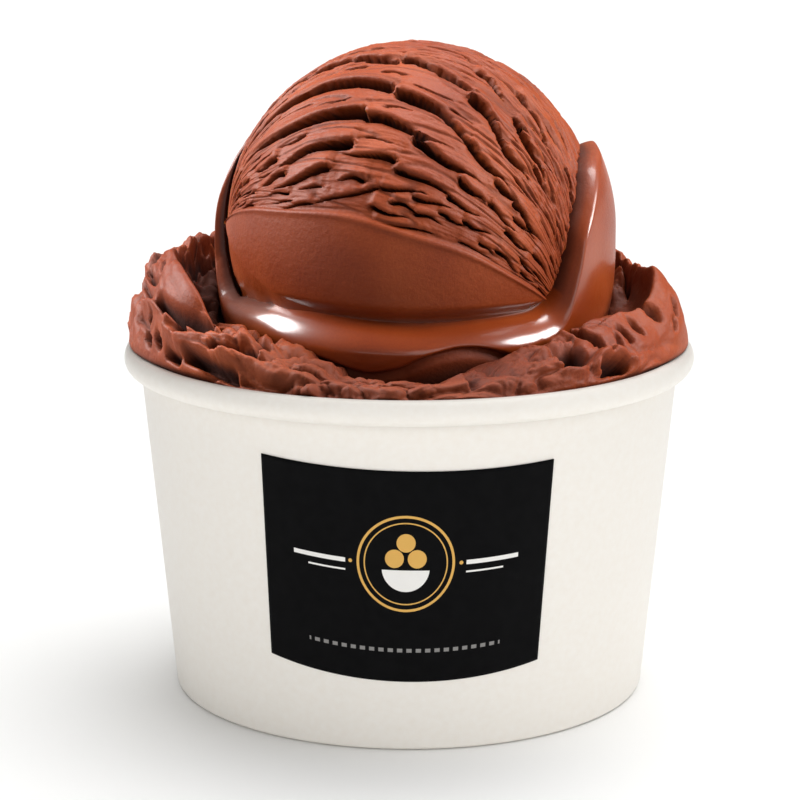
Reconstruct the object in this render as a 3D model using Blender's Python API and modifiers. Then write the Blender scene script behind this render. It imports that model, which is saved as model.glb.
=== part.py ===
"""A ball of chocolate gelato on a craggy bed of the same gelato, in a labelled paper cup.

Lengths are in metres. +Z is up and the label faces -Y. The origin is on the cup's axis, in the plane
that the foot stands on. Azimuths are in degrees from the front (-Y), positive towards +X.
"""

import math
import random

import bmesh
import bpy
from mathutils import Vector, noise

MM = 0.001
CLEARANCE = 0.3 * MM  # between pieces that touch

# Paper cup
CUP_HEIGHT = 58.2 * MM
RIM_RADIUS = 47.5 * MM
RIM_WIDTH = 3.3 * MM
RIM_DEPTH = 4.1 * MM
FOOT_RADIUS = 39.6 * MM
WALL_FLARE = 0.0945  # the radius gained for each unit of height
PAPER = 0.5 * MM
BASE_TOP = 6.5 * MM
FOLD_TOP = 5.4 * MM
CURL_END = -110.0  # degrees round the rolled rim, where the paper stops short of the wall
CUP_STEPS = 52

# Label
LABEL_CENTRE = -0.9
LABEL_HALF_WIDTH = 30.8
LABEL_LEAN = 1.0  # degrees clockwise
LABEL_TOP = 47.6 * MM
LABEL_BOTTOM = 14.3 * MM
LABEL_TOP_SAG = 0.9 * MM
LABEL_BOTTOM_SAG = 2.4 * MM
LABEL_THICKNESS = 0.15 * MM

# Ball of gelato
BALL_CENTRE = Vector((0.6 * MM, 0.0, 77.2 * MM))
BALL_RADIUS = 30.6 * MM
LEFT_POLE = Vector((-0.995, -0.096, 0.032)).normalized()
RIGHT_POLE = Vector((0.769, -0.519, -0.373)).normalized()
SKIN_START = 8.0  # angles about the line between the poles
RIDGES_START = 57.0
RIDGES = 21
FINEST_RIDGE = 3.2
WIDEST_RIDGE = 6.8
RIDGE_GROWTH = 0.42
CRACK_DEPTHS = (1.2 * MM, 2.9 * MM)  # in the finest ridges and in the widest
LIP_HEIGHTS = (0.3 * MM, 0.7 * MM)
SKIN_THICKNESS = 0.35 * MM
CRACK_MIDDLE = 0.42  # share of the way from the left pole, where the cracks end bluntly
BALL_RINGS = 28

# Collar that the scoop pressed round the ball: its free edge, as azimuth and elevation
COLLAR_EDGE = (
    (0, -21), (30, -20.5), (46, -19.5), (53, -15), (57, -6), (62, 2), (70, 10.5), (82, 19), (95, 25),
    (118, 31), (142, 27), (168, 31), (-164, 36), (-136, 34), (-100, 29), (-92, 18), (-89, 5), (-87, -8), (-80, -18), (-46, -18.5),
)
COLLAR_WAISTS = ((0, 32.4), (50, 33.1), (90, 33.6), (180, 33.5), (-90, 32.8), (-50, 32.5))
COLLAR_DEPTH = 31.2 * MM
COLLAR_POWER = 3.0
COLLAR_TAPERS = ((0, 0.1), (90, 0.1), (180, 0.3), (-105, 0.8), (-60, 0.4))
LIP_WIDTH = 1.8 * MM
GROOVE_WIDTH = 1.3 * MM
GROOVE_DEPTH = 1.6 * MM
CREASE_DEPTH = 0.9 * MM
CREASE_BELOW_CENTRE = 15.2 * MM
COLLAR_COLUMNS = 60
COLLAR_STEPS = (-0.35, 0.0, 0.012, 0.045, 0.09, 0.14, 0.19, 0.25, 0.33, 0.45, 0.65)

# Bed of gelato, as azimuth and millimetres: where it leaves the collar, its crest and what hangs over the rim
CONTACT_HEIGHTS = (
    (-2, 57.9), (9, 58.6), (22, 61.9), (35, 64.6), (48, 66.3), (62, 66.0), (90, 65.0), (180, 66.0),
    (-90, 65.0), (-60, 64.5), (-45, 65.8), (-34, 65.4), (-25, 63.6), (-14, 60.6),
)
CREST_HEIGHTS = (
    (-2, 58.9), (9, 59.5), (22, 62.4), (35, 65.2), (48, 68.2), (62, 70.8), (85, 71.8), (105, 69.6),
    (128, 72.4), (152, 70.2), (180, 72.0), (-152, 70.4), (-128, 73.4), (-106, 72.6), (-88, 75.8),
    (-70, 74.8), (-55, 71.6), (-45, 69.0), (-34, 66.6), (-25, 64.2), (-14, 61.2),
)
CREST_RADII = ((0, 38.4), (35, 37.8), (60, 38.8), (90, 38.0), (180, 38.6), (-90, 36.6), (-55, 39.6), (-30, 38.0))
OVERHANGS = ((0, 0.0), (45, 0.2), (68, 1.6), (88, 2.5), (180, 2.2), (-88, 2.6), (-68, 1.8), (-45, 0.3))
CRAG_HEIGHT = 1.5 * MM
CRAG_SIZE = 6.0 * MM
# Torn folds and hollows of the bed: azimuth, height, half length, half width, turn, stand-off (mm, degrees)
FOLDS = (
    (-54, 68.3, 8.0, 1.5, -8, -2.4), (-50, 66.0, 1.5, 1.4, 0, -3.0), (-64, 66.4, 1.5, 1.3, 0, -2.2),
    (-61, 61.9, 2.2, 1.5, 0, -2.6), (-70, 70.7, 1.6, 1.4, 0, -1.8), (-36, 63.6, 7.0, 2.6, -28, 1.7),
    (-41, 61.0, 3.6, 1.5, -28, -3.0), (-33, 67.0, 4.6, 1.5, 0, 1.1), (-35, 65.4, 2.2, 1.1, 55, -1.9),
    (-23, 64.0, 6.5, 1.4, -17, 1.0), (-26, 62.4, 6.0, 1.0, -20, -1.4), (41, 65.0, 2.0, 1.7, 20, -3.2),
    (33, 62.6, 3.4, 1.8, 18, -3.2), (45, 60.0, 2.8, 1.6, 8, -2.8), (25, 63.3, 9.0, 1.2, 16, 0.9),
    (22, 61.3, 8.0, 1.1, 16, -1.4), (55, 63.0, 4.5, 3.0, 30, 1.2), (60, 65.8, 1.9, 1.2, 60, -1.7),
    (70, 65.6, 2.0, 1.2, 60, -1.6), (63, 70.6, 3.6, 2.2, 10, -1.8), (-78, 66.0, 4.0, 2.5, 60, 1.2),
)
BACK_FOLDS = 34
WIDEST_BED = 47.1 * MM
BED_COLUMNS = 80
BED_CROWDING = 12.0  # degrees by which the columns crowd towards the front, where the bed is seen
BED_RINGS = 30
SEAT_RINGS = 7


def clear_scene():
    for old in list(bpy.data.objects):
        bpy.data.objects.remove(old)


def make_collection(name):
    collection = bpy.data.collections.new(name)
    bpy.context.scene.collection.children.link(collection)
    return collection


def make_material(name, colour, roughness, metallic=0.0):
    material = bpy.data.materials.new(name)
    material.use_nodes = True
    shader = material.node_tree.nodes["Principled BSDF"]
    shader.inputs["Base Color"].default_value = (*colour, 1.0)
    shader.inputs["Roughness"].default_value = roughness
    shader.inputs["Metallic"].default_value = metallic
    return material


def add_object(name, mesh, material, collection):
    obj = bpy.data.objects.new(name, mesh)
    mesh.materials.append(material)
    collection.objects.link(obj)
    return obj


def finish_bmesh(bm, name):
    """The bmesh as a mesh with its faces pointing out, shaded smooth."""
    bmesh.ops.recalc_face_normals(bm, faces=bm.faces)
    if bm.calc_volume(signed=True) < 0.0:
        bmesh.ops.reverse_faces(bm, faces=bm.faces)
    mesh = bpy.data.meshes.new(name)
    bm.to_mesh(mesh)
    bm.free()
    mesh.shade_smooth()
    return mesh


def blend(low, high, share):
    return low + (high - low) * share


def smooth_step(value):
    share = min(1.0, max(0.0, value))
    return share * share * (3.0 - 2.0 * share)


def round_the_clock(table, azimuth):
    """A smooth closed curve through a table of (azimuth, value), read at an azimuth in degrees."""
    points = sorted((a % 360.0, v) for a, v in table)
    azimuth %= 360.0
    count = len(points)
    after = next((i for i, p in enumerate(points) if p[0] > azimuth), count)
    knots = []
    for offset in (-2, -1, 0, 1):
        turns, index = divmod(after + offset, count)
        knots.append((points[index][0] + 360.0 * turns, points[index][1]))
    (a0, v0), (a1, v1), (a2, v2), (a3, v3) = knots
    span = a2 - a1
    share = (azimuth - a1) / span
    slope1 = (v2 - v0) / (a2 - a0) * span
    slope2 = (v3 - v1) / (a3 - a1) * span
    square, cube = share * share, share**3
    return (
        (2 * cube - 3 * square + 1) * v1
        + (cube - 2 * square + share) * slope1
        + (3 * square - 2 * cube) * v2
        + (cube - square) * slope2
    )


def direction_of(azimuth, elevation):
    a, e = math.radians(azimuth), math.radians(elevation)
    return Vector((math.sin(a) * math.cos(e), -math.cos(a) * math.cos(e), math.sin(e)))


def wall_radius(z):
    """The outer radius of the cup's wall at a height."""
    return FOOT_RADIUS + WALL_FLARE * z


def strip_outline(path, thickness):
    """The closed outline of a strip of paper that follows a path of (radius, height) points."""
    points = [Vector(point) for point in path]
    steps = [(b - a).normalized() for a, b in zip(points, points[1:])]
    sides = ([], [])
    for i, point in enumerate(points):
        before, after = steps[max(i - 1, 0)], steps[min(i, len(steps) - 1)]
        along = (before + after).normalized()
        half = thickness / 2 / along.dot(after)
        for side, sign in zip(sides, (half, -half)):
            side.append((point.x + sign * along.y, point.y - sign * along.x))
    return sides[0][::-1] + sides[1]


def turned(name, outline, closed, material, collection):
    """An outline of (radius, height) points turned about Z with a Screw modifier."""
    mesh = bpy.data.meshes.new(name)
    count = len(outline)
    edges = [(i, (i + 1) % count) for i in range(count if closed else count - 1)]
    mesh.from_pydata([(r, 0.0, z) for r, z in outline], edges, [])
    obj = add_object(name, mesh, material, collection)
    screw = obj.modifiers.new("Turn", "SCREW")
    screw.axis = "Z"
    screw.angle = math.tau
    screw.steps = screw.render_steps = CUP_STEPS
    screw.use_merge_vertices = True
    screw.merge_threshold = 0.01 * MM
    screw.use_smooth_shade = True
    return obj


def make_cup_wall(material, collection):
    """The side of the cup: folded in at the foot round the base's skirt, and rolled out at the rim."""
    fold_offset = 2 * (PAPER + CLEARANCE)
    turn_radius = fold_offset / 2
    turn_z = PAPER / 2 + 0.6 * turn_radius

    def middle(z):
        return wall_radius(z) - PAPER / 2

    path = [(middle(FOLD_TOP) - fold_offset, FOLD_TOP), (middle(turn_z) - fold_offset, turn_z)]
    centre = middle(turn_z) - turn_radius
    path += [(centre - turn_radius / 2, PAPER / 2), (centre + turn_radius / 2, PAPER / 2)]
    path.append((centre + turn_radius, turn_z))
    curl_r, curl_z = RIM_RADIUS - RIM_WIDTH / 2, CUP_HEIGHT - RIM_DEPTH / 2
    path.append((middle(curl_z - RIM_DEPTH / 2), curl_z - RIM_DEPTH / 2))
    half_width, half_depth = (RIM_WIDTH - PAPER) / 2, (RIM_DEPTH - PAPER) / 2
    curl_steps = 7
    for i in range(curl_steps + 1):
        a = math.radians(blend(180.0, CURL_END, i / curl_steps))
        path.append((curl_r + half_width * math.cos(a), curl_z + half_depth * math.sin(a)))
    return turned("cup_wall", strip_outline(path, PAPER), True, material, collection)


def make_cup_base(material, collection):
    """The raised floor of the cup, with its edge turned down inside the foot."""
    skirt_bottom = 1.4 * MM
    outer = wall_radius(BASE_TOP) - PAPER - CLEARANCE
    outer_low = wall_radius(skirt_bottom) - PAPER - CLEARANCE
    outline = [
        (0.0, BASE_TOP),
        (outer - PAPER, BASE_TOP),
        (outer, BASE_TOP - PAPER),
        (outer_low, skirt_bottom),
        (outer_low - PAPER, skirt_bottom),
        (outer - PAPER, BASE_TOP - PAPER),
        (0.0, BASE_TOP - PAPER),
    ]
    return turned("cup_base", outline, False, material, collection)


def make_label(material, collection):
    """A thin paper label bent round the front of the wall."""
    columns, rows = 14, 3
    bm = bmesh.new()
    bmesh.ops.create_grid(bm, x_segments=columns, y_segments=rows, size=1.0)
    lean = math.radians(LABEL_LEAN)
    half_height = (LABEL_TOP - LABEL_BOTTOM) / 2
    half_width = math.radians(LABEL_HALF_WIDTH) * wall_radius(LABEL_BOTTOM + half_height)
    for vertex in bm.verts:
        x, y = vertex.co.x, vertex.co.y
        across = x + y * lean * half_height / half_width
        up = y - x * lean * half_width / half_height
        bow = 1.0 - x * x
        top, bottom = LABEL_TOP - LABEL_TOP_SAG * bow, LABEL_BOTTOM - LABEL_BOTTOM_SAG * bow
        z = blend(bottom, top, (up + 1.0) / 2)
        azimuth = LABEL_CENTRE + LABEL_HALF_WIDTH * across
        place = direction_of(azimuth, 0.0) * (wall_radius(z) + CLEARANCE)
        vertex.co = (place.x, place.y, z)
    mesh = finish_bmesh(bm, "label")
    obj = add_object("label", mesh, material, collection)
    if mesh.polygons[0].normal.y > 0:
        mesh.flip_normals()
    solidify = obj.modifiers.new("Paper", "SOLIDIFY")
    solidify.thickness = LABEL_THICKNESS
    solidify.offset = 1.0
    return obj


class TwoPoles:
    """Arcs over the ball from its left pole to its right one. An angle turns about the line between them."""

    middle = (LEFT_POLE + RIGHT_POLE) / 2
    along = (RIGHT_POLE - LEFT_POLE).normalized()
    outward = middle.normalized()
    upward = outward.cross(along)
    half_chord = (RIGHT_POLE - LEFT_POLE).length / 2

    @classmethod
    def point(cls, angle, share):
        """The unit direction at an angle in degrees, a share of the way along that arc."""
        a = math.radians(angle)
        out = cls.outward * math.cos(a) + cls.upward * math.sin(a)
        drop = cls.middle.length * math.cos(a)
        radius = math.hypot(cls.half_chord, drop)
        reach = math.atan2(cls.half_chord, drop) * (2.0 * share - 1.0)
        return cls.middle + out * (radius * math.cos(reach) - drop) + cls.along * radius * math.sin(reach)


def ridge_borders():
    """The angles between neighbouring ridges, which get wider over the top of the ball."""
    angles = [RIDGES_START]
    for k in range(RIDGES):
        width = min(FINEST_RIDGE + RIDGE_GROWTH * k, WIDEST_RIDGE)
        angles.append(angles[-1] + width * (1.0 + 0.2 * noise.noise(Vector((k * 1.7, 3.1, 0.4)))))
    return angles


def cracks_between(borders):
    """For each border, the stretches where it gapes: (start, end, share of the full depth)."""
    draw = random.Random(11)
    cracks = []
    for k in range(len(borders)):
        stretches = []
        at = draw.uniform(0.03, 0.16)
        while at < 0.93:
            end = min(at + draw.uniform(0.13, 0.34), 0.95)
            stretches.append((at, end, draw.uniform(0.55, 1.0)))
            at = end + draw.uniform(0.02, 0.07)
        cracks.append(stretches)
    return cracks


def gape(stretches, share):
    """How far a border gapes at a share of the way along it: blunt near the middle, tapering towards a pole."""
    for start, end, depth in stretches:
        if start < share < end:
            along = (share - start) / (end - start)
            if (start + end) / 2 < CRACK_MIDDLE:
                along = 1.0 - along
            return depth * min(1.0, along / 0.08) * (1.0 - along) ** 0.6
    return 0.0


def ridge_height(k, across, share, cracks):
    """How far ridge k stands off the ball: a rounded lip over the crack below it, sinking to the next one."""
    size = smooth_step(k / 9.0)
    fade = smooth_step(min(share, 1.0 - share) / 0.16)
    below, above = gape(cracks[k], share), gape(cracks[k + 1], share)
    lip = blend(*LIP_HEIGHTS, size) * (0.25 + 0.75 * below) * math.exp(-((across / 0.45) ** 2))
    crack = blend(*CRACK_DEPTHS, size) * (0.2 + 0.8 * above) * math.exp(-(((1.0 - across) / 0.34) ** 2))
    return fade * (lip - crack)


def collar_edge_at(azimuth):
    return direction_of(azimuth, round_the_clock(COLLAR_EDGE, azimuth))


def collar_radius(direction):
    """The distance from the ball's centre to the collar's outer face."""
    azimuth = math.degrees(math.atan2(direction.x, -direction.y))
    waist = round_the_clock(COLLAR_WAISTS, azimuth) * MM
    flat, rise = math.hypot(direction.x, direction.y), direction.z
    if rise > 0.0:
        taper = round_the_clock(COLLAR_TAPERS, azimuth)
        lean = (math.degrees(math.asin(min(1.0, rise))) / 25.0) ** 1.5
        return BALL_RADIUS + (waist - BALL_RADIUS) * max(0.25, 1.0 - taper * lean)
    powers = (flat / waist) ** COLLAR_POWER + (-rise / COLLAR_DEPTH) ** COLLAR_POWER
    radius = powers ** (-1.0 / COLLAR_POWER)
    front = smooth_step((75.0 - abs(azimuth)) / 30.0)
    swing = 1.2 * MM * math.sin(math.radians(azimuth * 4.0 + 20.0))
    off_crease = (radius * rise + CREASE_BELOW_CENTRE + swing) / (1.1 * MM)
    return radius - front * CREASE_DEPTH * math.exp(-off_crease * off_crease)


def grid_place(vertex, columns, rings):
    """The (column, ring) of a vertex of a primitive sphere, counting rings down from its top pole."""
    direction = vertex.co.normalized()
    ring = round(math.acos(max(-1.0, min(1.0, direction.z))) / math.pi * rings)
    column = round(math.atan2(direction.y, direction.x) / math.tau * columns) % columns
    return column, ring


def make_ball():
    """The rolled ball: a smooth skin in front and below, and over it the ridges that the scoop tore up."""
    borders = ridge_borders()
    cracks = cracks_between(borders)
    edge = [collar_edge_at(azimuth) for azimuth in range(0, 360, 3)]
    skin = [(-1, i / 9) for i in range(9)]
    ridges = [(k, across) for k in range(RIDGES) for across in (0.03, 0.38, 0.9)]
    hidden = [(RIDGES, i / 8) for i in range(8)]
    columns = skin + ridges + hidden
    lows = [SKIN_START, *borders]
    highs = [*borders, SKIN_START + 360.0]

    def wandering(angle, k, share):
        if not RIDGES_START <= angle <= borders[-1]:
            return angle
        return angle + 1.1 * noise.noise(Vector((k * 2.3, share * 7.0, 1.5)))

    bm = bmesh.new()
    bmesh.ops.create_uvsphere(bm, u_segments=len(columns), v_segments=BALL_RINGS, radius=1.0)
    for vertex in bm.verts:
        column, ring = grid_place(vertex, len(columns), BALL_RINGS)
        share = ring / BALL_RINGS
        k, across = columns[column]
        low = wandering(lows[k + 1], k, share)
        high = wandering(highs[k + 1], k + 1, share)
        direction = TwoPoles.point(blend(low, high, across), share)
        radius = BALL_RADIUS * (1.0 + 0.008 * noise.noise(direction * 1.6))
        if 0 <= k < RIDGES:
            radius += ridge_height(k, across, share, cracks)
        elif k < 0:
            radius += SKIN_THICKNESS * smooth_step((1.0 - across) / 0.12)
        off_edge = min(direction.angle(point) for point in edge) * BALL_RADIUS / GROOVE_WIDTH
        radius -= GROOVE_DEPTH * math.exp(-off_edge * off_edge)
        vertex.co = BALL_CENTRE + direction * radius
    return finish_bmesh(bm, "ball")


def make_collar():
    """The collar: a rounded lip along its free edge, a crease below it in front, and a bowl under the ball."""
    rings = len(COLLAR_STEPS) + 1
    bottom = Vector((0.0, 0.12, -1.0)).normalized()
    edge_azimuths = evenly_spaced_azimuths(COLLAR_COLUMNS)
    bm = bmesh.new()
    bmesh.ops.create_uvsphere(bm, u_segments=COLLAR_COLUMNS, v_segments=rings, radius=1.0)
    for vertex in bm.verts:
        column, ring = grid_place(vertex, COLLAR_COLUMNS, rings)
        if ring == 0:
            vertex.co = BALL_CENTRE + Vector((0.0, 0.0, BALL_RADIUS * 0.35))
            continue
        if ring == rings:
            vertex.co = BALL_CENTRE + bottom * collar_radius(bottom)
            continue
        edge = collar_edge_at(edge_azimuths[column])
        step = COLLAR_STEPS[ring - 1]
        direction = edge.slerp(bottom, max(step, 0.0))
        inside = edge.angle(bottom) * max(step, 0.0) * BALL_RADIUS / LIP_WIDTH
        lip = math.sqrt(max(0.0, 1.0 - (1.0 - min(1.0, inside)) ** 2))
        buried = BALL_RADIUS * (0.93 if step >= 0.0 else 0.6)
        vertex.co = BALL_CENTRE + direction * blend(buried, collar_radius(direction), lip)
    return finish_bmesh(bm, "collar")


def evenly_spaced_azimuths(count):
    """Azimuths whose points are evenly spaced along the collar's edge, which climbs steeply in places."""
    fine = 720
    points = [collar_edge_at(360.0 * i / fine) for i in range(fine + 1)]
    lengths = [0.0]
    for a, b in zip(points, points[1:]):
        lengths.append(lengths[-1] + (b - a).length)
    azimuths, at = [], 0
    for i in range(count):
        wanted = lengths[-1] * i / count
        while lengths[at + 1] < wanted:
            at += 1
        share = (wanted - lengths[at]) / (lengths[at + 1] - lengths[at])
        azimuths.append(360.0 * (at + share) / fine)
    return azimuths


def make_gelato_scoop(material, collection):
    """The ball and its collar, joined into one solid."""
    obj = add_object("gelato_scoop", make_ball(), material, collection)
    collar = add_object("collar", make_collar(), material, collection)
    union = obj.modifiers.new("Join collar", "BOOLEAN")
    union.operation = "UNION"
    union.object = collar
    graph = bpy.context.evaluated_depsgraph_get()
    joined = bpy.data.meshes.new_from_object(obj.evaluated_get(graph))
    obj.modifiers.clear()
    obj.data = joined
    bpy.data.objects.remove(collar)
    return obj


def socket_point(azimuth, elevation, gap):
    """A (radius, height) on the collar's outer face, a gap away from it, measured from the cup's axis."""
    direction = direction_of(azimuth, elevation)
    place = BALL_CENTRE + direction * (collar_radius(direction) + gap)
    return math.hypot(place.x, place.y), place.z


def elevation_at_height(azimuth, height, gap):
    """The elevation at which the collar's outer face, moved out by a gap, passes a height."""
    low, high = -60.0, 10.0
    for _ in range(20):
        middle = (low + high) / 2
        if socket_point(azimuth, middle, gap)[1] < height:
            low = middle
        else:
            high = middle
    return low


def bed_profile(azimuth):
    """The bed's section at an azimuth, from the seat under the ball, over the crest, to the cup's floor."""
    crest = round_the_clock(CREST_HEIGHTS, azimuth) * MM
    crest_r = round_the_clock(CREST_RADII, azimuth) * MM
    overhang = max(0.0, round_the_clock(OVERHANGS, azimuth)) * MM
    contact = round_the_clock(CONTACT_HEIGHTS, azimuth) * MM
    full = smooth_step((crest - 60.0 * MM) / (9.0 * MM))
    over = overhang / (2.6 * MM)
    gap = 2.0 * CLEARANCE
    top = elevation_at_height(azimuth, contact, gap)
    seat = [socket_point(azimuth, blend(-80.0, top, i / SEAT_RINGS), gap) for i in range(SEAT_RINGS)]
    r_in, z_in = socket_point(azimuth, top, gap)
    lip_z = CUP_HEIGHT + 2 * CLEARANCE
    rise = crest - z_in
    room = crest_r - r_in
    drop = crest - lip_z
    outer_r = RIM_RADIUS - RIM_WIDTH + CLEARANCE + overhang
    exposed = [
        (r_in, z_in),
        (r_in + 0.42 * room, z_in + 0.12 * rise),
        (r_in + 0.74 * room, z_in + 0.6 * rise),
        (crest_r, crest),
        (blend(40.6 * MM, 41.2 * MM, full), crest - 0.27 * drop + 0.25 * MM * (1.0 - full)),
        (blend(42.6 * MM, 44.3 * MM, full), crest - 0.58 * drop + 0.4 * MM * (1.0 - full)),
        (outer_r, lip_z + 0.07 * drop + 0.1 * MM),
    ]
    inner = wall_radius(0.0) - PAPER - CLEARANCE
    side_low, side_high = BASE_TOP + 1.6 * MM, CUP_HEIGHT - RIM_DEPTH
    rim_inside = RIM_RADIUS - RIM_WIDTH - CLEARANCE
    off_rim = 1.5 * CLEARANCE
    shoulder_r = RIM_RADIUS - RIM_WIDTH / 2 - math.sqrt(0.5) * (RIM_WIDTH / 2 + off_rim)
    shoulder_z = CUP_HEIGHT - RIM_DEPTH / 2 + math.sqrt(0.5) * (RIM_DEPTH / 2 + off_rim)
    hidden = [
        (blend(rim_inside, RIM_RADIUS - 0.55 * RIM_WIDTH, over), lip_z),
        (blend(rim_inside, shoulder_r, over), shoulder_z),
        (rim_inside, CUP_HEIGHT - 0.4 * RIM_DEPTH),
        (inner + WALL_FLARE * side_high - 0.2 * MM, side_high),
        (inner + WALL_FLARE * 30.0 * MM, 30.0 * MM),
        (inner + WALL_FLARE * side_low, side_low),
        (inner - 1.0 * MM, BASE_TOP + CLEARANCE),
    ]
    return seat, exposed, hidden


def crag(place):
    """Torn lumps with creases between them, drawn out along the slope of the crest: from -1 to about 1."""
    azimuth = math.atan2(place.x, -place.y)
    radius = math.hypot(place.x, place.y)
    rise = 9.0 * MM * (math.pi / 2 - abs(abs(azimuth) - math.pi / 2))
    around = azimuth * 40.0 * MM
    spot = Vector((around / (1.7 * CRAG_SIZE), (place.z - rise) / CRAG_SIZE, radius / CRAG_SIZE))
    spot += noise.noise_vector(spot * 0.9) * 0.5
    near, next_near = noise.voronoi(spot)[0][:2]
    return 1.6 * min(0.5, next_near - near) - 0.45 + 0.5 * noise.noise(spot * 1.7)


def all_folds():
    """The folds in sight from the front, and more of the same kind scattered over the back."""
    draw = random.Random(5)
    folds = list(FOLDS)
    for i in range(BACK_FOLDS):
        azimuth = 78.0 + 202.0 * (i + draw.uniform(0.1, 0.9)) / BACK_FOLDS
        hollow = i % 2 == 0
        height = draw.uniform(60.0, 69.0)
        turn = draw.uniform(-45.0, 45.0)
        if hollow:
            size, off = (draw.uniform(1.5, 3.6), draw.uniform(1.2, 1.8)), -draw.uniform(1.6, 2.8)
        else:
            size, off = (draw.uniform(3.5, 6.5), draw.uniform(1.6, 2.4)), draw.uniform(0.8, 1.6)
        folds.append((azimuth, height, *size, turn, off))
    return folds


def fold_offset(place, folds):
    """How far the folds and hollows near a place raise or sink it."""
    azimuth = math.degrees(math.atan2(place.x, -place.y))
    total = 0.0
    for at, height, length, width, turn, off in folds:
        along = math.radians((azimuth - at + 180.0) % 360.0 - 180.0) * 42.0
        up = place.z / MM - height
        if abs(along) + abs(up) > 3.0 * length + 3.0:
            continue
        c, s = math.cos(math.radians(turn)), math.sin(math.radians(turn))
        a, b = (along * c + up * s) / length, (up * c - along * s) / width
        total += 1.3 * off * MM * math.exp(-(a * a + b * b))
    return total


def ring_shares(counts):
    """Positions along a section made of stretches: each stretch of control points takes a count of rings."""
    places = []
    start = 0.0
    for length, count in counts:
        places += [start + length * (i + 1) / count for i in range(count)]
        start += length
    return places


def along_section(points, at):
    """A point on a smooth curve through the points, at a position counted in points."""
    i = min(int(at), len(points) - 2)
    share = at - i
    p0, p1, p2, p3 = (Vector(points[max(0, min(len(points) - 1, i + n))]) for n in (-1, 0, 1, 2))
    return p1 + 0.5 * share * (
        (p2 - p0) + share * (2 * p0 - 5 * p1 + 4 * p2 - p3 + share * (3 * p1 - p0 - 3 * p2 + p3))
    )


def kept_clear(place):
    """A place on the bed's open side, moved out of the collar and in from beyond the rim."""
    off_centre = place - BALL_CENTRE
    least = collar_radius(off_centre.normalized()) + 2.3 * CLEARANCE
    if off_centre.length < least:
        place = BALL_CENTRE + off_centre * (least / off_centre.length)
    reach = math.hypot(place.x, place.y)
    if reach > WIDEST_BED:
        place.xy *= WIDEST_BED / reach
    return place


def make_gelato_bed(material, collection):
    """The bed: it fills the cup, takes the ball in a seat, and heaves up over the rim at the sides."""
    seat_count, exposed_count, hidden_count = SEAT_RINGS, 7, 7
    places = ring_shares(((seat_count - 1, seat_count - 1), (exposed_count, 16), (hidden_count, 7)))
    bm = bmesh.new()
    bmesh.ops.create_uvsphere(bm, u_segments=BED_COLUMNS, v_segments=BED_RINGS + 1, radius=1.0)
    sections = {}
    folds = all_folds()
    for vertex in bm.verts:
        column, ring = grid_place(vertex, BED_COLUMNS, BED_RINGS + 1)
        if ring in (0, BED_RINGS + 1):
            height = BALL_CENTRE.z - COLLAR_DEPTH - 2 * CLEARANCE if ring == 0 else BASE_TOP + CLEARANCE
            vertex.co = (0.0, 0.0, height)
            continue
        turn = 360.0 * column / BED_COLUMNS
        azimuth = turn - BED_CROWDING * math.sin(math.radians(turn))
        if column not in sections:
            seat, exposed, hidden = bed_profile(azimuth)
            sections[column] = seat + exposed + hidden
        at = ([0.0] + places)[ring - 1]
        radius, z = along_section(sections[column], at)
        around = direction_of(azimuth, 0.0)
        place = Vector((around.x * radius, around.y * radius, z))
        bare = smooth_step((at - seat_count) / 1.0) * smooth_step((seat_count + exposed_count - at) / 1.2)
        core = Vector((around.x * 37.0 * MM, around.y * 37.0 * MM, 54.0 * MM))
        if bare > 0.0:
            off = CRAG_HEIGHT * crag(place) + fold_offset(place, folds)
            place += (place - core).normalized() * bare * off
            place = kept_clear(place)
        vertex.co = place
    return add_object("gelato_bed", finish_bmesh(bm, "gelato_bed"), material, collection)


def main():
    clear_scene()
    parts = make_collection("gelato_cup")
    paper = make_material("cup_paper", (0.83, 0.81, 0.76), 0.45)
    label_paper = make_material("label_paper", (0.006, 0.006, 0.007), 0.4)
    gelato = make_material("chocolate_gelato", (0.24, 0.075, 0.04), 0.45)
    make_cup_wall(paper, parts)
    make_cup_base(paper, parts)
    make_label(label_paper, parts)
    make_gelato_scoop(gelato, parts)
    make_gelato_bed(gelato, parts)


main()
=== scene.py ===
"""Chocolate gelato in a labelled paper cup: the finished look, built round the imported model.

Lengths are in metres. Azimuths are in degrees from the front (-Y), positive towards +X.
"""

import math
import random

import bmesh
import bpy
import numpy as np
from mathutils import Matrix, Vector, kdtree, noise


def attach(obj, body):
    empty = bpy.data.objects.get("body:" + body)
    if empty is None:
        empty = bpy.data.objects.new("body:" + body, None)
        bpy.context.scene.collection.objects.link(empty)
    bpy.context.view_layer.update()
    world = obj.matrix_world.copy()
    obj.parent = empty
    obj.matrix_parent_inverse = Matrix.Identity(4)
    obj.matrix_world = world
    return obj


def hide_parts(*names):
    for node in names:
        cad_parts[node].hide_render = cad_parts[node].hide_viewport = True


MM = 0.001
CLEARANCE = 0.3 * MM

# Camera, fitted to the cup's rim, wall and foot
CAMERA_PLACE = (-1.52 * MM, -449.4 * MM, 151.1 * MM)
CAMERA_PITCH = 12.95
CAMERA_LENS = 123.4

# Paper cup
CUP_HEIGHT = 58.2 * MM
RIM_RADIUS = 47.46 * MM
RIM_WIDTH = 3.3 * MM
RIM_DEPTH = 4.1 * MM
FOOT_RADIUS = 39.6 * MM
WALL_FLARE = 0.0945
PAPER = 0.5 * MM
BASE_TOP = 6.5 * MM
FOLD_TOP = 5.4 * MM
CURL_END = -110.0
CUP_STEPS = 192

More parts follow.
